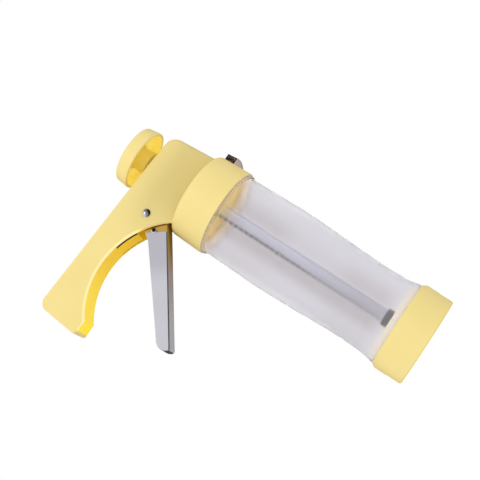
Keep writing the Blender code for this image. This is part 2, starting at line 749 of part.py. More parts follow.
def torsion_spring(radius, pitch, turns, first, last):
    """Points of a clockwise coil that a straight leg enters and a straight leg leaves, both at the left.

    first and last are the legs' far ends as (x, y) about the coil's axis.
    """
    start = tangent_angle(first, radius, -1) % (2 * math.pi)
    end = tangent_angle(last, radius, 1) % (2 * math.pi)
    sweep = start - end + 2 * math.pi * turns
    count = int(round(sweep / (2 * math.pi) * COIL_STEPS))
    length = pitch * sweep / (2 * math.pi)
    points = [(*first, -length / 2)]
    for i in range(count + 1):
        angle = start - sweep * i / count
        points.append((radius * math.cos(angle), radius * math.sin(angle), length * (i / count - 0.5)))
    points.append((*last, length / 2))
    return points


def lever_return_spring():
    """Torsion spring on the sleeve: one leg on the cross pin, the other on the chamber's back."""
    radius = SLEEVE_RADIUS + CLEARANCE + RETURN_SPRING_WIRE / 2
    pin_side = CROSS_PIN_X - CROSS_PIN_RADIUS - CLEARANCE - RETURN_SPRING_WIRE / 2
    back = body_back_z(PIVOT_X) - BACK_WALL - PIVOT_Z - RETURN_SPRING_WIRE
    points = torsion_spring(radius, RETURN_SPRING_PITCH, RETURN_SPRING_TURNS,
                            (pin_side, CROSS_PIN_Z), (RETURN_LEG_X, back))
    spring = wire("lever_return_spring", points, RETURN_SPRING_WIRE)
    lay_along_y(spring, PIVOT_X, 0, PIVOT_Z)
    return add_to_parts(spring, spring_steel)


def drive_pawl():
    """Hardened pawl: a tube between the ears with a nose that pushes the rod's teeth."""
    x, z = pawl_pin_place()
    swing = PAWL_ARM * (1 - math.cos(TRIGGER_TRAVEL / 2))
    tip_x = -ROD_RADIUS - CLEARANCE - swing - x
    boss = PAWL_BOSS_RADIUS
    nose = [
        (boss, 0),
        (tip_x, PAWL_NOSE_HEIGHT - PAWL_NOSE_LENGTH),
        (tip_x, -PAWL_NOSE_LENGTH),
        (tip_x - PAWL_NOSE_WIDTH, -PAWL_NOSE_LENGTH),
        (-boss, 0),
    ]
    rest = arc((0, 0), boss, math.pi, 0, 8)[1:-1]
    outline = [(x + px, z + pz) for px, pz in nose + rest]
    pawl = plate("drive_pawl", [outline], PAWL_HALF_WIDTH, (x, z))
    half = LEVER_HALF_WIDTH - LEVER_SHEET - CLEARANCE
    tube = turned("pawl_tube", cylinder_profile(PAWL_TUBE_RADIUS, -half, half), closed=False,
                  steps=SMALL_STEPS)
    join(pawl, lay_along_y(tube, x, 0, z))
    drill_along_y(pawl, (x, z), PAWL_PIN_RADIUS + CLEARANCE, half)
    shade(pawl.data)
    return add_to_parts(pawl, plain_steel)


def pawl_spring():
    """Light torsion spring on the pawl's tube: tail under the sleeve, hook behind the nose."""
    x, z = pawl_pin_place()
    radius = PAWL_TUBE_RADIUS + CLEARANCE + PAWL_SPRING_WIRE / 2
    tail = (PIVOT_X - x - PAWL_SPRING_PAST_PIVOT, PIVOT_Z - z - PAWL_SPRING_DROP)
    hook = (-PAWL_BOSS_RADIUS - PAWL_SPRING_WIRE, -PAWL_NOSE_LENGTH)
    points = torsion_spring(radius, PAWL_SPRING_PITCH, PAWL_SPRING_TURNS, tail, hook)
    length = points[-1][2] - points[0][2]
    points.append((*hook, points[-1][2] + PAWL_HALF_WIDTH))
    spring = wire("pawl_spring", points, PAWL_SPRING_WIRE)
    middle = PAWL_HALF_WIDTH + CLEARANCE + PAWL_SPRING_WIRE / 2 + length / 2
    lay_along_y(spring, x, middle, z)
    return add_to_parts(spring, spring_steel)


def tooth_comb():
    """Side view of the cutter that leaves the rod's ratchet teeth standing."""
    crest = -ROD_RADIUS
    root = -ROD_RADIUS + TOOTH_DEPTH
    outside = crest - OVERRUN
    low = ROD_Z + TEETH_ABOVE_NUT
    points = [(outside, low)]
    for i in range(TOOTH_COUNT):
        foot = low + i * TOOTH_PITCH
        points += [
            (crest - CLEARANCE, foot),
            (root, foot + TOOTH_PITCH * TOOTH_STEEP_SHARE),
            (root, foot + TOOTH_PITCH * (TOOTH_STEEP_SHARE + TOOTH_LAND_SHARE) / 2),
            (crest - CLEARANCE, foot + TOOTH_PITCH * (1 - TOOTH_LAND_SHARE / 2)),
        ]
    points.append((outside, low + TOOTH_COUNT * TOOTH_PITCH))
    return points


def ratchet_rod():
    """Steel rod toothed on the handle side, with a threaded stud in front and a tapped rear end."""
    top = rod_top_z()
    hole = SCREW_SHANK_RADIUS + CLEARANCE
    floor = top - SCREW_LENGTH
    points = [(0, floor), (hole, floor), (hole, top), (ROD_RADIUS, top), (ROD_RADIUS, ROD_Z),
              (STUD_RADIUS, ROD_Z), (STUD_RADIUS, STUD_END_HEIGHT), (0, STUD_END_HEIGHT)]
    rod = turned("ratchet_rod", points, closed=False, steps=ROD_STEPS)
    cut(rod, plate("tooth_comb", [tooth_comb()], ROD_RADIUS, ORIGIN))
    return add_to_parts(rod, plain_steel)


def rod_top_z():
    """The rod ends under the floor that the knob's screw clamps."""
    return KNOB_Z + KNOB_HEIGHT - SCREW_HEAD_HEIGHT - KNOB_SCREW_FLOOR - 2 * CLEARANCE


def knob_profile():
    """Half section of the knob: rounded rim, hollow underside, hub down to the housing."""
    top = KNOB_Z + KNOB_HEIGHT
    hub_foot = body_back_z(0) + HUB_GAP
    screw_floor = top - SCREW_HEAD_HEIGHT - CLEARANCE
    rod_hole = ROD_RADIUS + CLEARANCE
    under = top - KNOB_TOP_WALL
    return rounded([
        (KNOB_REAR_RADIUS, top, KNOB_ROUND),
        (KNOB_RADIUS, KNOB_Z, KNOB_ROUND / 2),
        (KNOB_RADIUS - KNOB_RIM_WALL, KNOB_Z, 0),
        (KNOB_RADIUS - KNOB_RIM_WALL, under, 0),
        (HUB_ROOT_RADIUS, under, 0),
        (HUB_RADIUS, hub_foot, 0),
        (rod_hole, hub_foot, 0),
        (rod_hole, rod_top_z() + CLEARANCE, 0),
        (SCREW_SHANK_RADIUS + CLEARANCE, rod_top_z() + CLEARANCE, 0),
        (SCREW_SHANK_RADIUS + CLEARANCE, screw_floor, 0),
        (SCREW_HEAD_RADIUS + CLEARANCE, screw_floor, 0),
        (SCREW_HEAD_RADIUS + CLEARANCE, top, 0),
    ])


def pull_knob():
    """Moulded disc, hollow underneath, whose hub takes the rod's end."""
    return add_to_parts(turned("pull_knob", knob_profile()), yellow_plastic)


def knob_screw():
    """Cheese-head screw that clamps the knob to the rod."""
    top = KNOB_Z + KNOB_HEIGHT
    seat = top - SCREW_HEAD_HEIGHT
    end = rod_top_z() - SCREW_LENGTH + CLEARANCE
    points = [(0, top), (SCREW_HEAD_RADIUS, top), (SCREW_HEAD_RADIUS, seat),
              (SCREW_SHANK_RADIUS, seat), (SCREW_SHANK_RADIUS, end), (0, end)]
    screw = turned("knob_screw", points, closed=False, steps=SMALL_STEPS)
    reach = SCREW_HEAD_RADIUS + OVERRUN
    low = (-reach, -SCREW_SLOT_WIDTH / 2, top - SCREW_SLOT_DEPTH)
    cut(screw, box("screw_slot", low, (reach, SCREW_SLOT_WIDTH / 2, top + OVERRUN)))
    return add_to_parts(screw, plain_steel)


def hex_nut(name, low):
    """A plain nut on the stud."""
    corner = NUT_ACROSS_FLATS / 2 / math.cos(math.pi / 6)
    outline = ring((0, 0), corner, 6)
    hole = ring((0, 0), STUD_RADIUS + CLEARANCE)
    nut = as_mesh(flat_curve(name, [outline, hole], NUT_THICKNESS / 2))
    nut.location = (0, 0, low + NUT_THICKNESS / 2)
    return add_to_parts(nut, plain_steel)


def piston_washer():
    points = [(WASHER_RADIUS, WASHER_Z + WASHER_THICKNESS), (WASHER_RADIUS, WASHER_Z),
              (STUD_RADIUS + CLEARANCE, WASHER_Z), (STUD_RADIUS + CLEARANCE, WASHER_Z + WASHER_THICKNESS)]
    return add_to_parts(turned("piston_washer", points, steps=SMALL_STEPS), plain_steel)


def piston_disc():
    """Cup-shaped plunger that fills the bore, clamped between the two nuts."""
    radius = TUBE_BORE_RADIUS - PISTON_GAP
    top = PISTON_Z + PISTON_HEIGHT
    hub_top = PISTON_Z + PISTON_HUB_HEIGHT
    floor = PISTON_Z + PISTON_FLOOR
    hole = STUD_RADIUS + CLEARANCE
    points = [
        (radius, top), (radius, PISTON_Z + PISTON_ROUND), (radius - PISTON_ROUND, PISTON_Z),
        (hole, PISTON_Z), (hole, hub_top), (PISTON_HUB_RADIUS, hub_top), (PISTON_HUB_RADIUS, floor),
        (radius - PISTON_WALL, floor), (radius - PISTON_WALL, top),
    ]
    return add_to_parts(turned("piston_disc", points), yellow_plastic)


def smooth_through(stations, share):
    """Cubic curve through (share, value) stations, with slopes taken from their neighbours."""
    last = len(stations) - 1
    slopes = []
    for i in range(last + 1):
        before, after = stations[max(i - 1, 0)], stations[min(i + 1, last)]
        slopes.append((after[1] - before[1]) / (after[0] - before[0]))
    for i in range(last):
        (s0, v0), (s1, v1) = stations[i], stations[i + 1]
        if share <= s1:
            span = s1 - s0
            k = (share - s0) / span
            return ((1 + 2 * k) * (1 - k) ** 2 * v0 + k * (1 - k) ** 2 * span * slopes[i]
                    + k * k * (3 - 2 * k) * v1 + k * k * (k - 1) * span * slopes[i + 1])
    return stations[last][1]


def tube_wall_radius(share):
    return TUBE_REAR_RADIUS * smooth_through(TUBE_WALL_SHARES, share)


def barrel_tube():
    """Frosted tube: straight bore, flared foot on the cap, lip against the collar."""
    lip_top = COLLAR_FRONT_Z - CLEARANCE
    lip_low = lip_top - TUBE_LIP_HEIGHT
    rear = SOCKET_RADIUS - CLEARANCE
    top = SOCKET_Z - CLEARANCE
    length = lip_low - TUBE_FLARE_Z
    shares = [i / TUBE_WALL_STEPS for i in range(TUBE_WALL_STEPS + 1)]
    wall = [(tube_wall_radius(share), lip_low - length * share) for share in shares]
    points = [(rear, top), (rear, lip_top), (TUBE_LIP_RADIUS, lip_top), (TUBE_LIP_RADIUS, lip_low)]
    points += wall + [(SPIGOT_RADIUS, TUBE_FLARE_Z), (SPIGOT_RADIUS, TUBE_FRONT_Z)]
    points += [(TUBE_BORE_RADIUS, TUBE_FRONT_Z), (TUBE_BORE_RADIUS, top)]
    return add_to_parts(turned("barrel_tube", points), frosted_plastic)


def front_cap():
    """Screw cap: chamfered behind, open in front so that the pattern disc shows."""
    inner = CAP_RADIUS - CAP_WALL
    points = [
        (inner, CAP_HEIGHT),
        (inner + CAP_REAR_LAND, CAP_HEIGHT),
        (CAP_RADIUS, CAP_HEIGHT - CAP_REAR_CHAMFER_HEIGHT),
        (CAP_RADIUS, CAP_FRONT_ROUND),
        (CAP_RADIUS - CAP_FRONT_ROUND, 0),
        (CAP_RADIUS - CAP_RING_WIDTH, 0),
        (CAP_RADIUS - CAP_RING_WIDTH, CAP_LIP),
        (inner, CAP_LIP),
    ]
    return add_to_parts(turned("front_cap", points), yellow_plastic)


def petal(angle):
    """One petal-shaped hole, pointed at both ends like a leaf."""
    outline = []
    for i in range(PETAL_STEPS):
        turn = 2 * math.pi * i / PETAL_STEPS
        along = PETAL_RING_RADIUS + PETAL_LENGTH / 2 * math.cos(turn)
        across = PETAL_WIDTH / 2 * math.sin(turn)
        outline.append((along * math.cos(angle) - across * math.sin(angle),
                        along * math.sin(angle) + across * math.cos(angle)))
    return outline


def pattern_disc():
    """Flat disc with a plain flower of holes, held between cap and tube."""
    radius = CAP_RADIUS - CAP_WALL - CLEARANCE
    holes = [petal(2 * math.pi * i / PETAL_COUNT) for i in range(PETAL_COUNT)]
    outlines = [ring((0, 0), radius, ROUND_STEPS), ring((0, 0), DISC_EYE_RADIUS)] + holes
    disc = as_mesh(flat_curve("pattern_disc", outlines, DISC_THICKNESS / 2))
    disc.location = (0, 0, DISC_Z + DISC_THICKNESS / 2)
    return add_to_parts(disc, plain_steel)


def button_depth():
    """How tall the button is: what stands proud of the collar and what sinks into its pocket."""
    return BUTTON_TOP - COLLAR_RADIUS + BUTTON_SINK


def release_button():
    """Thumb piece: serrated behind, rounded down in front, socketed on the catch's stem."""
    low_x = BUTTON_TOP - button_depth()
    front = BUTTON_Z
    back = BUTTON_Z + BUTTON_LENGTH
    dome_x = low_x + BUTTON_SINK + BUTTON_NOSE_HEIGHT
    rise = BUTTON_TOP - dome_x
    dome = []
    for i in range(BUTTON_DOME_STEPS + 1):
        angle = math.pi / 2 * i / BUTTON_DOME_STEPS
        dome.append((dome_x + rise * math.sin(angle), front + BUTTON_DOME_LENGTH * (1 - math.cos(angle))))
    ridges = []
    pitch = (BUTTON_LENGTH - BUTTON_DOME_LENGTH) / SERRATION_COUNT
    for i in range(SERRATION_COUNT):
        crest = BUTTON_TOP - BUTTON_REAR_DROP * (i + 1) / SERRATION_COUNT
        foot = front + BUTTON_DOME_LENGTH + i * pitch
        ridges += [(crest - SERRATION_DEPTH, foot + pitch / 2), (crest, foot + pitch)]
    outline = [(low_x, front)] + dome + ridges + [(low_x, back)]
    button = plate("release_button", [outline], BUTTON_HALF_WIDTH, ORIGIN)
    side = CATCH_STEM_HALF_WIDTH + CLEARANCE
    low = (low_x - OVERRUN, -side, CATCH_Z - CLEARANCE)
    high = (low_x + CATCH_STEM_IN_BUTTON + CLEARANCE, side, CATCH_Z + CATCH_THICKNESS + CLEARANCE)
    cut(button, box("stem_socket", low, high))
    shade(button.data)
    return add_to_parts(button, polished_steel)


def release_catch():
    """Sheet gate round the rod: its lower lip holds the teeth until the button is pressed."""
    top = BUTTON_TOP - button_depth() + CATCH_STEM_IN_BUTTON
    outline = [
        (-CATCH_FOOT, -CATCH_HALF_WIDTH), (CATCH_SHOULDER, -CATCH_HALF_WIDTH),
        (CATCH_SHOULDER, -CATCH_STEM_HALF_WIDTH), (top, -CATCH_STEM_HALF_WIDTH),
        (top, CATCH_STEM_HALF_WIDTH), (CATCH_SHOULDER, CATCH_STEM_HALF_WIDTH),
        (CATCH_SHOULDER, CATCH_HALF_WIDTH), (-CATCH_FOOT, CATCH_HALF_WIDTH),
    ]
    side = ROD_RADIUS + 2 * CLEARANCE
    low = -ROD_RADIUS - CLEARANCE
    high = ROD_RADIUS + CATCH_TRAVEL + CLEARANCE
    gate = rounded([(low, -side, 0), (high, -side, side / 2), (high, side, side / 2), (low, side, 0)])
    catch = as_mesh(flat_curve("release_catch", [outline, gate], CATCH_THICKNESS / 2))
    catch.location = (0, 0, CATCH_Z + CATCH_THICKNESS / 2)
    return add_to_parts(catch, plain_steel)


def release_spring():
    """Compression spring between the catch's foot and the chamber wall."""
    low = CHAMBER_FRONT_X + CLEARANCE + CATCH_SPRING_WIRE / 2
    high = -CATCH_FOOT - CLEARANCE - CATCH_SPRING_WIRE / 2
    pitch = (high - low) / CATCH_SPRING_TURNS
    turns = coil(CATCH_SPRING_RADIUS, pitch, CATCH_SPRING_TURNS)
    spring = wire("release_spring", turns, CATCH_SPRING_WIRE)
    spring.rotation_euler = (0, math.pi / 2, 0)
    spring.location = ((low + high) / 2, 0, CATCH_Z + CATCH_THICKNESS / 2)
    return add_to_parts(spring, spring_steel)


def hang(pieces, name, place):
    """Parents pieces to an empty on their joint's axis, leaving them where they are."""
    axis = bpy.data.objects.new(name, None)
    axis.location = place
    PARTS.objects.link(axis)
    for piece in pieces:
        piece.parent = axis
        piece.matrix_parent_inverse = Matrix.Translation(place).inverted()


def build():
    body_housing()
    pivot_rivet()
    pivot_sleeve()
    lever_return_spring()
    pin_x, pin_z = pawl_pin_place()
    hang([trigger_lever(), lever_cross_pin(), pawl_pin(), pawl_spring()], "trigger_axis",
         (PIVOT_X, 0, PIVOT_Z))
    hang([drive_pawl()], "pawl_axis", (pin_x, 0, pin_z))
    rod_pieces = [ratchet_rod(), pull_knob(), knob_screw(), piston_disc(), piston_washer(),
                  hex_nut("piston_rear_nut", TOP_NUT_Z), hex_nut("piston_front_nut", STUD_FOOT_NUT_Z)]
    hang(rod_pieces, "rod_slide_axis", (0, 0, ROD_Z))
    hang([release_button(), release_catch(), release_spring()], "release_axis", (0, 0, CATCH_Z))
    hang([barrel_tube()], "barrel_axis", (0, 0, COLLAR_FRONT_Z))
    hang([front_cap(), pattern_disc()], "cap_axis", (0, 0, 0))


build()
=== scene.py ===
"""Looks of a trigger-driven cookie press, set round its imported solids.

Metres, +Z up along the barrel from the cap to the pull knob, +X towards the thumb button,
the handle towards -X. The origin is on the barrel's axis at the cap's end face.
"""

import bmesh
import bpy
import numpy as np
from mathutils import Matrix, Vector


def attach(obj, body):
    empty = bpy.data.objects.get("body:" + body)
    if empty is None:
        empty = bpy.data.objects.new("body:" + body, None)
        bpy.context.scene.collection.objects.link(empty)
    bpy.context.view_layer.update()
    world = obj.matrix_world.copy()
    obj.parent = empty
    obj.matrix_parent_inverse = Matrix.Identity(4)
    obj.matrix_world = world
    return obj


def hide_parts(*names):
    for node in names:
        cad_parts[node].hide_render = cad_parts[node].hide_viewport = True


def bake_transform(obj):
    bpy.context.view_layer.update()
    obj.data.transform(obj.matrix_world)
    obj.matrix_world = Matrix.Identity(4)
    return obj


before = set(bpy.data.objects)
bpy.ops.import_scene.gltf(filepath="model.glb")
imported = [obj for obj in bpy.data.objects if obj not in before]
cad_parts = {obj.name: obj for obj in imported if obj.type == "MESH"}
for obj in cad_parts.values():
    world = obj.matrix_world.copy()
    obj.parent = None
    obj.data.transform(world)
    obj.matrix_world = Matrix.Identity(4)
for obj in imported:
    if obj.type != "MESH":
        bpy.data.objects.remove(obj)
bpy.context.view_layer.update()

# Housing: one satin moulding in pastel yellow. The collar that the barrel screws into, the flat-sided
# body over the mechanism and the hooked handle with its finger arc come out of the mould together, and
# the handle is open on the finger side, where the lever's side plates run in two slots.
CLEARANCE = 0.0003
COLLAR_RADIUS = 0.0300
COLLAR_REAR_RADIUS = 0.0292
COLLAR_FRONT = 0.1495
COLLAR_BACK = 0.1735
COLLAR_REAR_ROUND = 0.0032
COLLAR_RIM_ROUND = 0.0004
SOCKET_RADIUS = 0.0272
SOCKET_FLOOR = 0.1555
CHAMBER_FLOOR = 0.1585
HALF_WIDTH = 0.0130
BODY_ROUND = 0.0030
HANDLE_ROUND = 0.0015
BODY_FRONT = 0.0250
BODY_REAR = 0.0220
BODY_CORNER = 0.0085
BACK_HEIGHT = 0.2068
BACK_RISE = 0.0062
HANDLE_REACH = 0.11759
HEEL_ROUND = 0.0060
HEEL_DRAFT = 0.0024
TOE_DEPTH = 0.0306
TOE_ROUND = 0.0022
ARC_RADIUS = 0.0575
ARC_PLACE = (-0.0710, 0.1374)
CHAMBER_HALF_WIDTH = 0.0112
CORE_HALF_WIDTH = 0.0082
CORE_END = -0.0430
SLOT_END = -0.0585
SLOT_RAMP = 0.0145
CHAMBER_FRONT = -0.0190
CHAMBER_RELIEF = 0.0004
BACK_WALL = 0.0024
ROD_RADIUS = 0.0045
BEYOND = 0.004
PIVOT = (-0.0295, 0.1899)
PIVOT_SHANK = 0.0015
PAWL_PIN = (-0.00946, 0.195836)
PAWL_EAR = 0.0034
RIB_HALF_WIDTH = 0.0025
BUTTON_TOP = 0.0339
BUTTON_DEPTH = 0.0051
BUTTON_FRONT = 0.1585
BUTTON_LENGTH = 0.0121
BUTTON_HALF_WIDTH = 0.0042
BUTTON_TRAVEL = 0.0030
CATCH_HEIGHT = 0.1629
CATCH_THICKNESS = 0.0015
STEM_HALF_WIDTH = 0.0036
YELLOW = (0.880, 0.720, 0.285)
YELLOW_CLOUD = (0.865, 0.700, 0.262)
# Painted shade tone for the body's side beside the collar
YELLOW_PAINTED_SHADE = (0.700, 0.565, 0.215)
# Painted light on inner faces: deeper yellow and amber for light bounced between them, socket tones and glow
# for light through the frosted tube, a pale painted rim light and an emission glow; the slot tone is painted
# shade.
YELLOW_INSIDE = (0.960, 0.720, 0.030)
AMBER = (0.900, 0.560, 0.012)
SOCKET_NEAR = (0.895, 0.665, 0.200)
SOCKET_FAR = (0.960, 0.900, 0.780)
SOCKET_GLOW = 0.46
PAINTED_RIM_LIGHT = (0.900, 0.740, 0.380)
SLOT_SHADE = (0.025, 0.012, 0.004)
PAINTED_GLOW = 0.28
SPECULAR = 0.28
MILKY, MILKY_DEPTH, MILKY_TINT = 0.10, 0.003, (1.0, 0.75, 0.3)
SATIN, SATIN_SPREAD = 0.36, 0.10
CLOUD_SIZE, SATIN_SIZE, GRAIN_SIZE, GRAIN_HEIGHT = 0.020, 0.0030, 0.0006, 0.00002
TONE_CLOUD = 0.012
SKIN, HAIR, CRISP = 0.0002, 0.0001, 0.0003


def rounded(corners, steps=12):
    """Closed outline through (across, up, radius) corners, each rounded by an arc that touches both sides."""
    points = []
    for i, (across, up, radius) in enumerate(corners):
        here = np.array((across, up))
        if not radius:
            points.append(here[None])
            continue
        back = np.array(corners[i - 1][:2]) - here
        ahead = np.array(corners[(i + 1) % len(corners)][:2]) - here
        back, ahead = back / np.hypot(*back), ahead / np.hypot(*ahead)
        half = np.arccos(np.clip(back @ ahead, -1, 1)) / 2
        middle = here + (back + ahead) / np.hypot(*(back + ahead)) * radius / np.sin(half)
        first = here + back * radius / np.tan(half) - middle
        last = here + ahead * radius / np.tan(half) - middle
        turn = np.arctan2(first[0] * last[1] - first[1] * last[0], first @ last)
        angle = np.arctan2(first[1], first[0]) + turn * np.linspace(0, 1, steps + 1)
        points.append(middle + radius * np.stack([np.cos(angle), np.sin(angle)], 1))
    return np.concatenate(points)


def quads(rows, columns, ring_rows=False):
    """Faces between neighbouring points of a grid of closed rows; ring_rows joins the last row to row 0."""
    row, column = np.meshgrid(np.arange(rows - (not ring_rows)), np.arange(columns), indexing="ij")
    below, right = (row + 1) % rows, (column + 1) % columns
    corners = [row * columns + column, row * columns + right,
               below * columns + right, below * columns + column]
    return np.stack(corners, -1).reshape(-1, 4).tolist()


WELD = 1e-6


def solid(name, points, faces):
    """A closed mesh at the origin: its points welded where they meet, its faces turned outwards."""
    mesh = bpy.data.meshes.new(name)
    mesh.from_pydata(np.asarray(points, float).reshape(-1, 3).tolist(), [], faces)
    shape = bmesh.new()
    shape.from_mesh(mesh)
    bmesh.ops.remove_doubles(shape, verts=shape.verts, dist=WELD)
    bmesh.ops.recalc_face_normals(shape, faces=shape.faces)
    shape.to_mesh(mesh)
    shape.free()
    piece = bpy.data.objects.new(name, mesh)
    bpy.context.scene.collection.objects.link(piece)
    return piece


def turned(name, section, steps=192, along="z", place=(0.0, 0.0), loop=True):
    """Surface of revolution: a section's (r, h) goes to (r cos a, r sin a, h), or round a Y axis at place."""
    r, h = np.asarray(section, float).T
    angle = np.linspace(0, 2 * np.pi, steps, endpoint=False)
    one, two = r[:, None] * np.cos(angle), r[:, None] * np.sin(angle)
    up = np.broadcast_to(h[:, None], one.shape)
    if along == "z":
        points = np.stack([one, two, up], -1)
    else:
        points = np.stack([one + place[0], up, two + place[1]], -1)
    return solid(name, points, quads(len(r), steps, ring_rows=loop))


def rod_section(radius, low, high):
    """Half section of a plain cylinder, from its axis round and back to it."""
    return [(0, low), (radius, low), (radius, high), (0, high)]


def plate(name, outline, half, edge=0.0, middle=0.0, rings=6):
    """Flat piece across Y of half width h, whose edges are rounds of radius e on both sides.

    The (x, z) outline goes inwards by e (1 - cos t) at y = h - e + e sin t, with t from 0 to a quarter turn.
    """
    outline = np.asarray(outline, float)
    step = np.roll(outline, -1, 0) - outline
    outline = outline[np.hypot(*step.T) > WELD / 10]
    step = np.roll(outline, -1, 0) - outline
    area = np.sum(outline[:, 0] * np.roll(outline[:, 1], -1) - outline[:, 1] * np.roll(outline[:, 0], -1))
    step /= np.hypot(*step.T)[:, None]
    side = np.stack([-step[:, 1], step[:, 0]], 1) * np.sign(area)
    before = np.roll(side, 1, 0)
    inward = (side + before) / (1 + np.sum(side * before, 1))[:, None]
    edge = np.broadcast_to(edge(outline) if callable(edge) else edge, len(outline))
    if not edge.any():
        rings = 1
    angle = np.linspace(np.pi / 2, 0, rings)
    angle = np.concatenate([angle, -angle[::-1]])[:, None]
    which = np.sign(np.arange(2 * rings) - rings + 0.5)[:, None] * -1
    inset = edge * (1 - np.cos(angle)) if edge.any() else np.zeros((2, len(outline)))
    y = middle + which * (half - edge) + (edge * np.sin(angle) if edge.any() else 0)
    flat = outline + inward * inset[..., None]
    points = np.stack([flat[..., 0], np.broadcast_to(y, inset.shape), flat[..., 1]], -1)
    count = len(outline)
    ends = [list(range(count)), list(range((2 * rings - 1) * count, 2 * rings * count))]
    return solid(name, points, quads(2 * rings, count) + ends)


def block(name, low, high):
    """Six-sided solid between two corners."""
    (x0, y0, z0), (x1, y1, z1) = low, high
    return plate(name, [(x0, z0), (x1, z0), (x1, z1), (x0, z1)], (y1 - y0) / 2, middle=(y0 + y1) / 2)


def work(piece, tool, operation="DIFFERENCE"):
    """Cuts the tool's volume away from the piece or moulds it on to it; the tool is used up."""
    step = piece.modifiers.new("work", "BOOLEAN")
    step.operation = operation
    step.object = tool
    step.solver = "EXACT"
    old = piece.data
    graph = bpy.context.evaluated_depsgraph_get()
    made = bpy.data.meshes.new_from_object(piece.evaluated_get(graph))
    piece.modifiers.clear()
    piece.data = made
    made.name = piece.name
    bpy.data.meshes.remove(old)
    bpy.data.objects.remove(tool)


def smooth(piece, degrees=33.0):
    """Soft shading up to an edge angle, with large flat faces kept flat."""
    piece.data.shade_smooth()
    piece.data.set_sharp_from_angle(angle=np.radians(degrees))
    weigh = piece.modifiers.new("flat_faces_first", "WEIGHTED_NORMAL")
    weigh.keep_sharp = True
    return piece


class Signal:
    """A socket in a material. Sums of signals and numbers add Math nodes, and node() adds any other node."""

    def __init__(self, tree, socket):
        self.tree, self.socket = tree, socket

    def node(self, kind, settings, sockets, output=0):
        """A node of this type: its settings first, then values or links on its sockets."""
        made = self.tree.nodes.new(kind)
        for key, value in settings.items():
            setattr(made, key, value)
        for key, value in sockets.items():
            if isinstance(value, Signal):
                self.tree.links.new(value.socket, made.inputs[key])
            else:
                made.inputs[key].default_value = value
        return Signal(self.tree, made.outputs[output])

    def sum(self, operation, one, two):
        """A sum of two signals or numbers by this operation."""
        return self.node("ShaderNodeMath", {"operation": operation}, {0: one, 1: two})

    def __add__(self, other):
        return self.sum("ADD", self, other)

    def __sub__(self, other):
        return self.sum("SUBTRACT", self, other)

    def __rsub__(self, other):
        return self.sum("SUBTRACT", other, self)

    def __mul__(self, other):
        return self.sum("MULTIPLY", self, other)

    __radd__, __rmul__ = __add__, __mul__

    def above(self, level, softness):
        """0 under a level and 1 over it, with a smooth ramp that reaches softness to either side of it."""
        return self.between(level - softness, level + softness, 0.0, 1.0)

    def between(self, low, high, first, last):
        """A smooth ramp from one value to another while this goes from low to high."""
        return self.node("ShaderNodeMapRange", {"interpolation_type": "SMOOTHSTEP"},
                         {0: self, 1: low, 2: high, 3: first, 4: last})

    def below(self, level, softness):
        """1 under a level and 0 over it, with the same ramp."""
        return 1 - self.above(level, softness)

    def size(self):
        """The value without its sign."""
        return self.node("ShaderNodeMath", {"operation": "ABSOLUTE"}, {0: self})

    def blend(self, none, full):
        """One colour where this is 0, the other where it is 1."""
        none, full = [c if isinstance(c, Signal) else (*c, 1.0) for c in (none, full)]
        return self.node("ShaderNodeMix", {"data_type": "RGBA"}, {0: self, 6: none, 7: full}, 2)


class Finish:
    """A material: values that are the same all over go on the shader, what changes comes as signals."""

    def __init__(self, name, **values):
        self.material = bpy.data.materials.new(name)
        self.material.use_nodes = True
        self.tree = self.material.node_tree
        self.shader = self.tree.nodes["Principled BSDF"]
        for key, value in values.items():
            self.shader.inputs[key.replace("_", " ")].default_value = value
        source = self.tree.nodes.new("ShaderNodeTexCoord")
        self.place = Signal(self.tree, source.outputs["Object"])

    def part(self, axis):
        """Where a point of the piece lies along x, y or z, in metres."""
        return self.place.node("ShaderNodeSeparateXYZ", {}, {0: self.place}, "XYZ".index(axis))

    def grain(self, size, detail=2.0, stretch=(1.0, 1.0, 1.0)):
        """Noise with patches of about this size in metres, drawn out where an axis has a stretch under 1."""
        at = self.place.node("ShaderNodeVectorMath", {"operation": "MULTIPLY"}, {0: self.place, 1: stretch})
        return at.node("ShaderNodeTexNoise", {}, {"Vector": at, "Scale": 1.0 / size, "Detail": detail})

    def feed(self, **signals):
        """Links signals to the shader's sockets of the same names, such as Base_Color or Roughness."""
        for key, signal in signals.items():
            self.tree.links.new(signal.socket, self.shader.inputs[key.replace("_", " ")])

    def relief(self, height, distance, strength):
        """Normal of a surface whose height goes up and down by this distance."""
        return height.node("ShaderNodeBump", {},
                           {"Height": height, "Distance": distance, "Strength": strength})


def dress(piece, finish, slot_name, body=None, *nodes):
    """Gives a piece its finish, the body that carries it and the solids it stands for; the slot name is not
    used.
    """
    piece.data.materials.clear()
    piece.data.materials.append(finish.material)
    if body:
        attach(piece, body)
        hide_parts(*nodes)


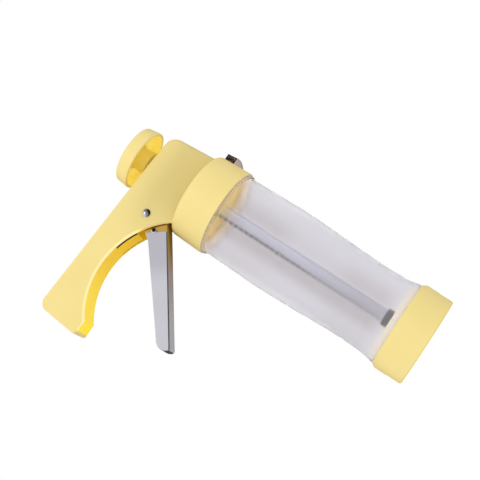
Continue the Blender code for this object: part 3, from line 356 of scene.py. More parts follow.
def moulded_yellow(name, inside=None, painted_shade=None):
    """Satin pastel yellow with faint clouds and a fine grain; inner faces get deeper tones and an emission
    glow, both painted in for light bounced inside and passed through the plastic, and an optional mask paints
    shade.
    """
    finish = Finish(name, IOR=1.49, Specular_IOR_Level=SPECULAR, Subsurface_Weight=MILKY,
                    Subsurface_Scale=MILKY_DEPTH, Subsurface_Radius=MILKY_TINT)
    colour = finish.grain(CLOUD_SIZE, 3.0).above(0.55, 0.25).blend(YELLOW, YELLOW_CLOUD)
    # Painted shade: where a shade mask is given, the colour darkens there.
    if painted_shade:
        colour = painted_shade(finish).blend(colour, YELLOW_PAINTED_SHADE)
    # Painted glow: inner faces emit their own tone, though no lamp is there.
    if inside:
        within, tone, glow = inside(finish)
        colour = within.blend(colour, tone)
        finish.feed(Emission_Color=(within * glow).blend((0.0, 0.0, 0.0), tone))
        finish.shader.inputs["Emission Strength"].default_value = 1.0
    finish.feed(Base_Color=colour, Roughness=finish.grain(SATIN_SIZE) * SATIN_SPREAD + SATIN,
                Normal=finish.relief(finish.grain(GRAIN_SIZE, 1.0), GRAIN_HEIGHT, 0.35))
    return finish


def back_line(x):
    """Height of the sloping back over x."""
    return BACK_HEIGHT + (BODY_REAR - x) * BACK_RISE / (HANDLE_REACH + BODY_REAR)


def housing_outline():
    """Side view of body and handle: top, back, heel and toe with their rounds, then the finger arc."""
    toe = back_line(-HANDLE_REACH) - TOE_DEPTH
    inner = (COLLAR_FRONT + COLLAR_BACK) / 2
    rise = np.array((toe, inner)) - ARC_PLACE[1]
    across = np.array((-1, 1)) * np.sqrt(ARC_RADIUS ** 2 - rise ** 2)
    angle = np.linspace(*np.arctan2(rise, across), 120)
    fingers = np.array(ARC_PLACE) + ARC_RADIUS * np.stack([np.cos(angle), np.sin(angle)], 1)
    heel = HEEL_DRAFT - HANDLE_REACH
    back = np.linspace(BODY_REAR - 2 * BODY_CORNER, heel + 2 * HEEL_ROUND, 24)
    corners = [(BODY_FRONT, inner, 0), (BODY_REAR, BACK_HEIGHT, BODY_CORNER)]
    corners += [(x, back_line(x), 0) for x in back]
    corners += [(heel, back_line(heel), HEEL_ROUND), (-HANDLE_REACH, toe, TOE_ROUND)]
    return rounded(corners + [(*point, 0) for point in fingers], 16)


EASE_START, EASE_LENGTH = -0.004, 0.018


def moulded_edge(outline):
    """Round of the long edges: large over the body, easing to the handle's smaller one."""
    share = np.clip((outline[:, 0] - EASE_START) / EASE_LENGTH, 0, 1)
    return HANDLE_ROUND + (BODY_ROUND - HANDLE_ROUND) * share * share * (3 - 2 * share)


def finger_arc(x):
    """Height of the finger arc over x."""
    return ARC_PLACE[1] + np.sqrt(ARC_RADIUS ** 2 - (x - ARC_PLACE[0]) ** 2)


# Where the housing's inner faces start, seen from its skin, and how wide the changes of tone are there
ARC_SKIN, ARC_CHANGE = 0.0004, 0.00003
TOE_SKIN, TOE_CHANGE = 0.0007, 0.0004
TOE_START, TOE_START_CHANGE = ARC_PLACE[0] - 0.030, 0.001
TOE_END, TOE_END_CHANGE = 0.0030 - HANDLE_REACH, 0.0008
COLLAR_SKIN = 0.0020
FINGER_SIDE, FINGER_CHANGE = HALF_WIDTH - 0.0014, 0.0004
SLOT_CHANGE = 0.0005
CORNER_CHANGE, ROUND_CHANGE = 0.000003, 0.000004
FRONT_WALL_SKIN, COLLAR_BACK_SKIN = 0.0005, 0.0008
RIM_SKIN, RIM_CHANGE, RIM_SIDE = 0.0013, 0.00006, HALF_WIDTH - 0.0016
RIM_START, RIM_START_CHANGE = -0.040, 0.004
AMBER_FROM, AMBER_TO = -0.108, -0.060
FAR_LIFT, FAR_RIM = 0.18, 0.0015


def inside_housing(finish):
    """1 on the finger arc, the toe's underside and every inner face; their tones, painted deeper towards
    amber for bounced light, with painted slot shade, a painted rim light and painted socket tones; and how
    much painted glow they get.
    """
    x, across, z = finish.part("X"), finish.part("Y").size(), finish.part("Z")
    from_arc = [x - ARC_PLACE[0], z - ARC_PLACE[1]]
    reach = from_arc[0] * from_arc[0] + from_arc[1] * from_arc[1]
    arc = reach.below((ARC_RADIUS + ARC_SKIN) ** 2, ARC_CHANGE)
    toe = z.below(back_line(-HANDLE_REACH) - TOE_DEPTH + TOE_SKIN, TOE_CHANGE)
    toe = toe * x.below(TOE_START, TOE_START_CHANGE)
    toe = toe * x.above(TOE_END, TOE_END_CHANGE)
    collar_skin = x.above(-COLLAR_RADIUS - COLLAR_SKIN, SKIN) * z.below(COLLAR_BACK + SKIN, HAIR)
    fingers = (arc + toe) * across.below(FINGER_SIDE, FINGER_CHANGE) * (1 - collar_skin)
    slope = BACK_RISE / (HANDLE_REACH + BODY_REAR)
    skin = x * -slope - z
    behind_back = skin.above(BACK_WALL / 2 - BACK_HEIGHT - BODY_REAR * slope, SKIN)
    chamber = across.below(CHAMBER_HALF_WIDTH + SKIN, HAIR) * behind_back * x.above(SLOT_END, SLOT_CHANGE)
    corner = [x - (BODY_REAR - BODY_CORNER), z - (BACK_HEIGHT - BODY_CORNER)]
    past = [way.sum("MAXIMUM", way, 0.0) for way in corner]
    past_corner = past[0] * past[0] + past[1] * past[1]
    chamber = chamber * past_corner.below((BODY_CORNER - BACK_WALL / 2) ** 2, CORNER_CHANGE)
    outside_collar = x.below(CHAMBER_FRONT - FRONT_WALL_SKIN, HAIR)
    outside_collar = outside_collar * z.below(COLLAR_BACK - COLLAR_BACK_SKIN, HAIR)
    chamber = chamber * x.below(BODY_REAR - BACK_WALL / 2, SKIN) * (1 - outside_collar)
    width = x * x + finish.part("Y") * finish.part("Y")
    socket = width.below((SOCKET_RADIUS + CLEARANCE) ** 2, ROUND_CHANGE) * z.below(CHAMBER_FLOOR, CRISP)
    # Painted light: the round along the finger arc's edge, which faces down, is painted pale.
    low_edge = reach.below((ARC_RADIUS + RIM_SKIN) ** 2, RIM_CHANGE) + toe
    rim = low_edge * across.above(RIM_SIDE, CRISP) * (1 - collar_skin) * x.below(RIM_START, RIM_START_CHANGE)
    # Painted bounce light: inner faces deepen from yellow at the toe to amber towards the body.
    tone = x.between(AMBER_FROM, AMBER_TO, -0.2, 0.8) + finish.grain(TONE_CLOUD) * 0.4
    tone = slot_sides(finish).blend(tone.blend(YELLOW_INSIDE, AMBER), SLOT_SHADE)
    tone = rim.blend(tone, PAINTED_RIM_LIGHT)
    # Painted light: the socket, seen through the frosted tube, is painted golden by its floor and pale
    # towards its open end, with a painted glow strongest there.
    far = z.between(COLLAR_FRONT + FAR_RIM, SOCKET_FLOOR + CRISP, 1.0, 0.0)
    tone = socket.blend(tone, far.blend(SOCKET_NEAR, SOCKET_FAR))
    glow = socket * (far * FAR_LIFT + (SOCKET_GLOW - PAINTED_GLOW)) + PAINTED_GLOW
    return (fingers + chamber + socket + rim).above(0.5, 0.5), tone, glow


SHADY_FROM, SHADY_TO = -0.062, -0.006
SHADY_BACK, SHADY_MIDDLE, SHADE_AT_BACK = 0.207, 0.190, 0.35


def beside_collar(finish):
    """Rises to 1 towards the collar: painted shade, as the collar's soft shadow on the body's side."""
    x, z = finish.part("X"), finish.part("Z")
    shady = x.between(SHADY_FROM, SHADY_TO, 0.0, 1.0) * z.above(COLLAR_BACK, CRISP)
    return shady * z.between(SHADY_BACK, SHADY_MIDDLE, SHADE_AT_BACK, 1.0)


MOUTH_FROM, MOUTH_TO, MOUTH_SHADE, MOUTH_SKIN = -0.040, -0.033, 0.55, 0.0006


def slot_sides(finish):
    """1 on the sides of the handle's core, deep in the two slots; half that in the mouth by the collar."""
    x, across, z = finish.part("X"), finish.part("Y").size(), finish.part("Z")
    core = (across - CORE_HALF_WIDTH).size().below(SKIN, HAIR) * x.above(SLOT_END, SLOT_CHANGE)
    core = core * x.below(CORE_END - SKIN, HAIR)
    mouth = x.between(MOUTH_FROM, MOUTH_TO, 0.0, MOUTH_SHADE) * z.above(COLLAR_BACK - MOUTH_SKIN, SKIN)
    return core + mouth


housing = plate("housing_moulding", housing_outline(), HALF_WIDTH, moulded_edge, rings=9)
work(housing, turned("collar", rounded([
    (0, COLLAR_BACK, 0), (COLLAR_REAR_RADIUS, COLLAR_BACK, COLLAR_REAR_ROUND),
    (COLLAR_RADIUS, COLLAR_FRONT, COLLAR_RIM_ROUND), (0, COLLAR_FRONT, 0)], 10), loop=False), "UNION")
inner_top = BODY_REAR - BACK_WALL
chamber_back = COLLAR_BACK - CHAMBER_RELIEF
work(housing, plate("chamber", rounded([
    (inner_top, CHAMBER_FLOOR, 0), (inner_top, back_line(inner_top) - BACK_WALL, BODY_CORNER - BACK_WALL),
    (CORE_END, back_line(CORE_END) - BACK_WALL, 0), (CORE_END, chamber_back, 0),
    (CHAMBER_FRONT, chamber_back, 0), (CHAMBER_FRONT, CHAMBER_FLOOR, 0)]), CHAMBER_HALF_WIDTH))
slot_height = finger_arc(SLOT_END)
slot_rise = (back_line(CORE_END) - BACK_WALL - slot_height) / SLOT_RAMP
slot_top = slot_height + SLOT_RAMP * slot_rise - BEYOND
for side in (-1, 1):
    work(housing, plate("slot", [
        (CORE_END + BEYOND, slot_top), (SLOT_END + SLOT_RAMP - BEYOND, slot_top),
        (SLOT_END - BEYOND, slot_height - BEYOND * slot_rise), (SLOT_END - BEYOND, COLLAR_BACK),
        (CORE_END + BEYOND, COLLAR_BACK)], (CHAMBER_HALF_WIDTH - CORE_HALF_WIDTH) / 2,
        middle=side * (CHAMBER_HALF_WIDTH + CORE_HALF_WIDTH) / 2))
rib_side = (CHAMBER_HALF_WIDTH + HALF_WIDTH) / 2
rib_foot = PAWL_PIN[1] + PAWL_EAR + CLEARANCE
rib_root = back_line(PAWL_PIN[0]) - BACK_WALL / 2
work(housing, block("stop_rib", (PAWL_PIN[0] - RIB_HALF_WIDTH, -rib_side, rib_foot),
                    (PAWL_PIN[0] + RIB_HALF_WIDTH, rib_side, rib_root)), "UNION")
work(housing, turned("socket", rod_section(SOCKET_RADIUS, COLLAR_FRONT - BEYOND, SOCKET_FLOOR), loop=False))
work(housing, turned("rod_hole", rod_section(ROD_RADIUS + 2 * CLEARANCE, SOCKET_FLOOR - BEYOND,
                                             BACK_HEIGHT + BEYOND), 64, loop=False))
recess_side = BUTTON_HALF_WIDTH + CLEARANCE
recess_floor = BUTTON_TOP - BUTTON_DEPTH - BUTTON_TRAVEL - CLEARANCE
work(housing, block("button_recess", (recess_floor, -recess_side, BUTTON_FRONT - CLEARANCE),
                    (COLLAR_RADIUS + BEYOND, recess_side, BUTTON_FRONT + BUTTON_LENGTH + CLEARANCE)))
slit_side = STEM_HALF_WIDTH + CLEARANCE
work(housing, block("catch_slit", (inner_top - BEYOND, -slit_side, CATCH_HEIGHT - CLEARANCE),
                    (recess_floor + BEYOND, slit_side, CATCH_HEIGHT + CATCH_THICKNESS + CLEARANCE)))
work(housing, turned("pivot_hole", rod_section(PIVOT_SHANK + CLEARANCE, -2 * HALF_WIDTH, 2 * HALF_WIDTH),
                     48, "y", PIVOT, loop=False))
smooth(housing)
housing_yellow = moulded_yellow("housing_yellow", inside_housing, beside_collar)
dress(housing, housing_yellow, "yellow_plastic", "housing", "body_housing")

# Pivot: a steel rivet with a polished domed head on each side of the body, and the plain spacer tube
# on it that keeps the lever's ears apart. The rivet is closed cold, so its heads are true domes.
HEAD_RADIUS = 0.0027
HEAD_HEIGHT = 0.0013
HEAD_SHADE = (0.030, 0.030, 0.030)
HEAD_SHADE_FROM, HEAD_SHADE_TO = -0.0016, 0.0000
HEAD_EDGE_FROM, HEAD_EDGE_TO = 0.0006, 0.0020
BRIGHT = (0.820, 0.810, 0.880)
PLAIN = (0.480, 0.480, 0.510)
DRAWN_SIZE, TOOLED_SIZE, TOOLED_HEIGHT, BLOTCH_SIZE = 0.0008, 0.0005, 0.000008, 0.005


def domed_pin(name, shank, half, radius, height, place, bore=0.0):
    """A pin across Y whose heads are slices of a sphere: r = s sin a, h = c + s cos a, each with a bore."""
    sphere = (radius ** 2 + height ** 2) / (2 * height)
    angle = np.linspace(np.arcsin(bore / sphere), np.arcsin(min(1.0, radius / sphere)), 14)
    top = np.stack([sphere * np.sin(angle), half + height - sphere + sphere * np.cos(angle)], 1)
    if bore:
        top = np.concatenate([[(0, half - height), (bore, half - height)], top])
    section = np.concatenate([top, [(shank, half), (shank, -half)], (top * (1, -1))[::-1]])
    return smooth(turned(name, section, 64, "y", place, loop=False))


def plain_steel(name, colour=PLAIN, roughness=0.34):
    """Turned and pressed steel as it comes off the machine: dull, with fine tool marks."""
    finish = Finish(name, Metallic=1.0)
    marks = finish.grain(TOOLED_SIZE, 2.0, (1.0, 1.0, 0.25))
    finish.feed(Base_Color=finish.grain(BLOTCH_SIZE).blend(colour, tuple(0.8 * c for c in colour)),
                Roughness=marks * 0.16 + (roughness - 0.08), Normal=finish.relief(marks, TOOLED_HEIGHT, 0.5))
    return finish


def carried_over(node, finish):
    """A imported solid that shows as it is, with its finish."""
    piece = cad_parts[node]
    piece.data.materials.clear()
    piece.data.materials.append(finish.material)


machined = plain_steel("machined_steel")
rivet = domed_pin("rivet_with_domed_heads", PIVOT_SHANK, HALF_WIDTH + CLEARANCE, HEAD_RADIUS, HEAD_HEIGHT,
                  PIVOT)
# Painted reflection on the rivet heads: bright steel, with a dark crescent painted towards +X and down.
head_steel = Finish("rivet_head_steel", Metallic=1.0)
sideways = (head_steel.part("X") - PIVOT[0]) * 0.8 - (head_steel.part("Z") - PIVOT[1]) * 0.6
head_painted_reflection = sideways.between(HEAD_SHADE_FROM, HEAD_SHADE_TO, 0.0, 0.62)
head_painted_reflection = head_painted_reflection + sideways.between(HEAD_EDGE_FROM, HEAD_EDGE_TO, 0.0, 0.38)
head_steel.feed(Base_Color=head_painted_reflection.blend(BRIGHT, HEAD_SHADE),
                Roughness=head_steel.grain(DRAWN_SIZE, 3.0) * 0.10 + 0.06)
dress(rivet, head_steel, "polished_steel", "housing", "pivot_rivet")
carried_over("pivot_sleeve", machined)

# Return spring: five turns of drawn spring wire on the spacer tube. One leg bears on the inside of the
# body's back and the other on the lever's cross pin, so it swings the lever away from the handle.
WIRE = (0.330, 0.330, 0.350)


def wound(name, node, finish):
    """A smooth-shaded copy of a packed spring, in its place, with its finish; the packed solid is hidden."""
    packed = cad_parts[node]
    points = [packed.matrix_world @ vertex.co for vertex in packed.data.vertices]
    spring = solid(name, points, [tuple(face.vertices) for face in packed.data.polygons])
    spring.data.shade_smooth()
    dress(spring, finish, "spring_steel")
    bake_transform(spring)
    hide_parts(node)


spring_wire = plain_steel("spring_wire", WIRE, 0.28)
wound("return_spring_turns", "lever_return_spring", spring_wire)

# Trigger lever: one pressing of polished 1 mm steel sheet. A front web that the fingers pull joins two
# side plates with small bend radii, closes the tip, and the plates run on as the ears on the pivot.
LEVER_HALF_WIDTH = 0.0102
SHEET = 0.0010
BEND = 0.0010
LEVER_ANGLE = np.radians(36.6)
FRONT_OFFSET = 0.0128
ROOT_REACH = 0.0020
ROOT_CHAMFER = 0.0016
NECK_REACH, NECK_DEPTH, NECK_ROUND = 0.0169, 0.0126, 0.0012
TIP_REACH, TIP_DEPTH = 0.0876, 0.0082
TIP_FRONT_ROUND, TIP_BACK_ROUND = 0.0018, 0.0064
EAR_RADIUS = 0.0064
TRAVEL = np.radians(33.0)
CROSS_PIN = (-0.0357, 0.1801)
CROSS_SHANK, CROSS_HEAD, CROSS_HEIGHT = 0.0012, 0.0020, 0.0007
CROSS_BORE = 0.0007
EAR_REACH = 0.0122
EAR_STEP = 0.0005
CHANNEL_ROUND = 0.0003
PAINTED_YELLOW_REFLECTION = (0.700, 0.440, 0.110)
ROOT_PAINTED_SHADE_NEAR = (0.360, 0.240, 0.060)
ROOT_PAINTED_SHADE_FAR = (0.210, 0.120, 0.015)
WEB_PAINTED_REFLECTION = (0.370, 0.310, 0.290)
WEB_TONE = (0.450, 0.440, 0.445)
PLATE_PAINTED_SHADE = (0.660, 0.650, 0.720)
FOLD_PAINTED_SHADE = (0.200, 0.190, 0.215)
PIN_HOLLOW, PIN_HOLLOW_CHANGE = 0.0013, 0.0000005
PIN_SHADE = (0.035, 0.030, 0.028)
BRIGHT_SPOT = tuple(0.93 * c for c in BRIGHT)
SPOT_SIZE, DRAWN_HEIGHT, DRAWN_ALONG = 0.012, 0.000004, (0.6, 1.0, 0.6)
BROKEN_EDGE = 0.00012
WEB_DEPTH, WEB_EASE, ROOT_EASE, TIP_EASE = 0.0012, 0.0010, 0.0015, 0.0030
DOWN = np.array((-np.cos(LEVER_ANGLE), -np.sin(LEVER_ANGLE)))
BEHIND = np.array((-np.sin(LEVER_ANGLE), np.cos(LEVER_ANGLE)))


def on_lever(reach, depth, radius=0.0):
    """A corner of the side view: reach down the front edge and depth behind it."""
    return (*(np.array(PIVOT) + DOWN * reach + BEHIND * (depth - FRONT_OFFSET)), radius)


def curve(place, radius, start, end, steps):
    """Corners along an arc in the side view."""
    angle = np.linspace(start, end, steps + 1)
    return [(place[0] + radius * np.cos(a), place[1] + radius * np.sin(a), 0) for a in angle]


def bent_edge(outline):
    """Bend radius down the web and round the closed tip; elsewhere the sheet's edge is only broken."""
    reach = (outline - PIVOT) @ DOWN
    depth = (outline - PIVOT) @ BEHIND + FRONT_OFFSET
    web = np.clip((WEB_DEPTH - depth) / WEB_EASE, 0, 1) * np.clip((reach - ROOT_REACH) / ROOT_EASE, 0, 1)
    tip = np.clip((reach - TIP_REACH + TIP_BACK_ROUND) / TIP_EASE, 0, 1)
    share = np.maximum(web, tip)
    return BROKEN_EDGE + (BEND - BROKEN_EDGE) * share * share * (3 - 2 * share)


half_turn = TRAVEL / 2
outline = [on_lever(TIP_REACH, 0, TIP_FRONT_ROUND), on_lever(TIP_REACH, TIP_DEPTH, TIP_BACK_ROUND),
           on_lever(NECK_REACH, NECK_DEPTH, NECK_ROUND)]
outline += curve(PIVOT, EAR_RADIUS, np.pi, np.pi / 2 + half_turn, 12)
outline += curve(PAWL_PIN, PAWL_EAR, np.pi / 2 + half_turn, half_turn - np.pi / 2, 20)
outline += [on_lever(ROOT_REACH - ROOT_CHAMFER, ROOT_CHAMFER)]
outline += [on_lever(reach, 0) for reach in np.linspace(ROOT_REACH, TIP_REACH - 2 * TIP_FRONT_ROUND, 40)]
lever = plate("pressed_lever", rounded(outline, 14), LEVER_HALF_WIDTH, bent_edge, rings=7)
far = TIP_REACH + BEYOND
work(lever, plate("channel", rounded([
    on_lever(TIP_REACH - SHEET, SHEET, SHEET / 2),
    on_lever(TIP_REACH - SHEET, TIP_DEPTH + SHEET, TIP_BACK_ROUND - SHEET),
    on_lever(NECK_REACH, NECK_DEPTH + BEYOND), on_lever(-NECK_REACH, far), on_lever(-far, far),
    on_lever(-far, -NECK_DEPTH), on_lever(ROOT_REACH + SHEET, -NECK_DEPTH),
    on_lever(ROOT_REACH + SHEET, SHEET)]), LEVER_HALF_WIDTH - SHEET, CHANNEL_ROUND, rings=4))
for side in (-1, 1):
    beside_ears = [on_lever(*corner)[:2] for corner in
                   ((EAR_REACH, -BEYOND), (EAR_REACH, far), (-far, far), (-far, -BEYOND))]
    work(lever, plate("ear_step", beside_ears, EAR_STEP, middle=side * LEVER_HALF_WIDTH))
for radius, place in ((PIVOT_SHANK, PIVOT), (CROSS_SHANK, CROSS_PIN), (CROSS_SHANK, PAWL_PIN)):
    work(lever, turned("pin_hole", rod_section(radius + CLEARANCE, -2 * HALF_WIDTH, 2 * HALF_WIDTH),
                       48, "y", place, loop=False))
smooth(lever, 28.0)


EAR_SIDE = LEVER_HALF_WIDTH - EAR_STEP / 2
ROOT_SHADE_FROM, ROOT_SHADE_TO = -0.007, 0.005
ROOT_SHADE_REACH, ROOT_SHADE_CHANGE = 0.030, 0.012
WEB_FROM, WEB_CHANGE = 0.056, 0.016
PLATE_FROM, PLATE_TO = 0.030, 0.045
FOLD_DEPTH, FOLD_SIDE = BEND * 0.8, LEVER_HALF_WIDTH - BEND * 0.7


def pressed_sheet(name):
    """Polished sheet, drawn lengthwise, with painted light: a painted reflection of the yellow moulding on
    the ears near the mouth, painted reflections and shade down the web, and painted shade in the fold and on
    the plates near the pivot.
    """
    finish = Finish(name, Metallic=1.0, Specular_IOR_Level=0.0)
    drawn = finish.grain(DRAWN_SIZE, 3.0, DRAWN_ALONG)
    x, across, z = finish.part("X"), finish.part("Y").size(), finish.part("Z")
    reach = (x - PIVOT[0]) * DOWN[0] + (z - PIVOT[1]) * DOWN[1]
    depth = (x - PIVOT[0]) * BEHIND[0] + (z - PIVOT[1]) * BEHIND[1] + FRONT_OFFSET
    ears = across.below(EAR_SIDE, HAIR) * reach.below(EAR_REACH + SKIN, HAIR)
    web = depth.below(BEND / 2, SKIN) * across.below(LEVER_HALF_WIDTH - BEND / 2, SKIN)
    # Painted shade and reflection down the web: brown shade in the mouth, a warm painted reflection below it,
    # then a painted grey.
    root_shade = finish.part("Y").between(ROOT_SHADE_FROM, ROOT_SHADE_TO, 0.0, 1.0).blend(ROOT_PAINTED_SHADE_NEAR, ROOT_PAINTED_SHADE_FAR)
    web_painted_reflection = reach.below(WEB_FROM, WEB_CHANGE).blend(WEB_TONE, WEB_PAINTED_REFLECTION)
    web_painted_reflection = reach.below(ROOT_SHADE_REACH, ROOT_SHADE_CHANGE).blend(web_painted_reflection, root_shade)
    plain = finish.grain(SPOT_SIZE).blend(BRIGHT, BRIGHT_SPOT)
    # Painted shade along the bend between web and plates.
    fold_shade = depth.below(FOLD_DEPTH, HAIR) * across.above(FOLD_SIDE, HAIR)
    # Painted shade: the plates are darker up towards the pivot.
    plain = reach.between(PLATE_FROM, PLATE_TO, 0.0, 1.0).blend(PLATE_PAINTED_SHADE, plain)
    # Painted reflection of the yellow moulding on the ears near the mouth.
    with_painted_light = web.blend(ears.blend(plain, PAINTED_YELLOW_REFLECTION), web_painted_reflection)
    finish.feed(Base_Color=(fold_shade * reach.above(EAR_REACH, SKIN)).blend(with_painted_light, FOLD_PAINTED_SHADE), Metallic=1 - web,
                Roughness=drawn * 0.10 + 0.12, Normal=finish.relief(drawn, DRAWN_HEIGHT, 0.5))
    return finish


sheet_steel = pressed_sheet("pressed_sheet_steel")
dress(lever, sheet_steel, "polished_steel", "trigger", "trigger_lever")
pin_steel = Finish("cross_pin_steel", Metallic=1.0)
from_pin = [pin_steel.part("X") - CROSS_PIN[0], pin_steel.part("Z") - CROSS_PIN[1]]
rim_of_pin = from_pin[0] * from_pin[0] + from_pin[1] * from_pin[1]
rim_of_pin = rim_of_pin.above(PIN_HOLLOW ** 2, PIN_HOLLOW_CHANGE)
pin_steel.feed(Base_Color=rim_of_pin.blend(PIN_SHADE, BRIGHT),
                Roughness=pin_steel.grain(DRAWN_SIZE) * 0.2 + 0.05)
cross_pin = domed_pin("cross_pin_with_heads", CROSS_SHANK, LEVER_HALF_WIDTH + CLEARANCE / 2, CROSS_HEAD,
                      CROSS_HEIGHT, CROSS_PIN, CROSS_BORE)
dress(cross_pin, pin_steel, "polished_steel", "trigger", "lever_cross_pin")
carried_over("pawl_pin", machined)

# Drive pawl: a hardened block on its pin between the arms of the lever. Its nose pushes the rod forward
# tooth by tooth, and a light wire spring keeps it against the teeth.
HARDENED = (0.260, 0.260, 0.290)
hardened = plain_steel("hardened_steel", HARDENED, 0.30)
carried_over("drive_pawl", hardened)
wound("pawl_spring_turns", "pawl_spring", spring_wire)

# Ratchet rod: a 9 mm drawn steel bar with saw teeth milled into its handle side, a threaded stud in
# front for the piston and a tapped hole behind for the knob's screw.
ROD_FRONT = 0.0305
ROD_TOP = 0.2185
STUD_FRONT = 0.0058
STUD_RADIUS = 0.0029
TAPPED_RADIUS = 0.0022
TAPPED_FLOOR = 0.2055
TOOTH_START = 0.0339
TOOTH_PITCH = 0.00395
TOOTH_DEPTH = 0.0013
TOOTH_COUNT = 43
ROOT_START_SHARE, ROOT_END_SHARE, CREST_SHARE = 0.24, 0.28, 0.85
STEP_SHARES = (0.0, 0.05, 0.1, 0.15, 0.24, 0.28, 0.38, 0.48, 0.58, 0.68, 0.74, 0.85)
ROD_CHAMFER = 0.0004
BAR_BEHIND, BAR_IN_FRONT, BAR_EDGE_SHADE = (0.80, 0.83, 0.90), (0.66, 0.66, 0.71), (0.36, 0.36, 0.40)
NOTCH_SHADE = (0.18, 0.18, 0.20)
BAR_FADE_FROM, BAR_FADE_TO = 0.110, 0.040
EDGE_FROM, EDGE_TO = 0.0018, 0.0042


def toothed_bar(columns=64):
    """x = max(saw(h), R cos a), y = R sin a: a round bar whose -X side stops at the saw-tooth line."""
    tooth = np.array([(0, -CLEARANCE), (ROOT_START_SHARE, TOOTH_DEPTH), (ROOT_END_SHARE, TOOTH_DEPTH),
                      (CREST_SHARE, -CLEARANCE)])
    start = TOOTH_START + TOOTH_PITCH * np.arange(TOOTH_COUNT)[:, None]
    saw_at = (start + TOOTH_PITCH * tooth[:, 0]).ravel()
    saw = np.tile(tooth[:, 1], TOOTH_COUNT) - ROD_RADIUS
    along = (start + TOOTH_PITCH * np.array(STEP_SHARES)).ravel()
    height = np.concatenate([[STUD_FRONT, STUD_FRONT, ROD_FRONT, ROD_FRONT], along,
                             [ROD_TOP - ROD_CHAMFER, ROD_TOP, ROD_TOP, TAPPED_FLOOR, TAPPED_FLOOR]])
    radius = np.concatenate([[0, STUD_RADIUS, STUD_RADIUS, ROD_RADIUS], np.full(len(along), ROD_RADIUS),
                             [ROD_RADIUS, ROD_RADIUS - ROD_CHAMFER, TAPPED_RADIUS, TAPPED_RADIUS, 0]])
    angle = np.linspace(0, 2 * np.pi, columns, endpoint=False)
    stop = np.interp(height, saw_at, saw, -ROD_RADIUS, -ROD_RADIUS)
    x = np.maximum(radius[:, None] * np.cos(angle), np.where(radius > STUD_RADIUS, stop, -1)[:, None])
    y = radius[:, None] * np.sin(angle)
    points = np.stack([x, y, np.broadcast_to(height[:, None], x.shape)], -1)
    return solid("toothed_bar", points, quads(len(height), columns))


rod = smooth(toothed_bar(), 25.0)
rod_steel = plain_steel("drawn_bar_steel", BAR_BEHIND, 0.26)
# Painted light on the bar: lighter behind than in front, painted shade along its +X edge, and painted shade
# in the tooth gaps, fading towards the front.
toothed = rod_steel.part("X").below(TOOTH_DEPTH - ROD_RADIUS + SKIN, CRISP)
toothed = toothed * rod_steel.part("Z").above(TOOTH_START, 0.001)
towards_front = rod_steel.part("Z").between(BAR_FADE_FROM, BAR_FADE_TO, 0.0, 1.0)
in_tooth = (rod_steel.part("Z") - TOOTH_START) * (1 / TOOTH_PITCH)
in_tooth = in_tooth.node("ShaderNodeMath", {"operation": "FRACT"}, {0: in_tooth})
cut = in_tooth.between(0.20, 0.50, 0.0, 1.0) * (1 - towards_front * 0.85)
bar = towards_front.blend(BAR_BEHIND, BAR_IN_FRONT)
bar = rod_steel.part("X").between(EDGE_FROM, EDGE_TO, 0.0, 0.62).blend(bar, BAR_EDGE_SHADE)
rod_steel.feed(Base_Color=toothed.blend(bar, cut.blend(bar, NOTCH_SHADE)))
dress(rod, rod_steel, "plain_steel", "rod", "ratchet_rod")

# Piston: a yellow moulded cup that fills the bore, clamped on the stud between two plain nuts with a
# washer in front. The nuts are dark, plated steel.
PISTON_RADIUS = 0.0242
PISTON_FRONT, PISTON_TOP = 0.0127, 0.0257
PISTON_FLOOR, PISTON_WALL, PISTON_ROUND = 0.0157, 0.0020, 0.0015
PISTON_HUB, PISTON_HUB_TOP, STUD_HOLE = 0.0080, 0.0249, 0.0032
MOULDED_EDGE, HUB_FILLET, WALL_FILLET = 0.0004, 0.0008, 0.0010
PISTON_TONE, PISTON_RIM, PISTON_GLOW = (0.940, 0.870, 0.740), (0.940, 0.860, 0.660), 0.34
NUT = (0.120, 0.112, 0.108)
piston_bore = PISTON_RADIUS - PISTON_WALL
piston = smooth(turned("piston_cup", rounded([
    (PISTON_RADIUS, PISTON_TOP, MOULDED_EDGE), (PISTON_RADIUS, PISTON_FRONT, PISTON_ROUND),
    (STUD_HOLE, PISTON_FRONT, 0), (STUD_HOLE, PISTON_HUB_TOP, 0), (PISTON_HUB, PISTON_HUB_TOP, MOULDED_EDGE),
    (PISTON_HUB, PISTON_FLOOR, HUB_FILLET), (piston_bore, PISTON_FLOOR, WALL_FILLET),
    (piston_bore, PISTON_TOP, MOULDED_EDGE)], 6)))


def seen_through_tube(finish):
    """The whole piston, which shows only through the frosted wall, is painted pale and given a painted glow;
    its top rim is the yellowest.
    """
    z = finish.part("Z")
    rim = z.above(PISTON_TOP - 0.002, 0.001)
    return z.above(0, 0.001), rim.blend(PISTON_TONE, PISTON_RIM), PISTON_GLOW


dress(piston, moulded_yellow("piston_yellow", seen_through_tube), "yellow_plastic", "rod", "piston_disc")
nut_steel = plain_steel("dark_nut_steel", NUT, 0.40)
for node in ("piston_rear_nut", "piston_front_nut"):
    carried_over(node, nut_steel)
carried_over("piston_washer", machined)

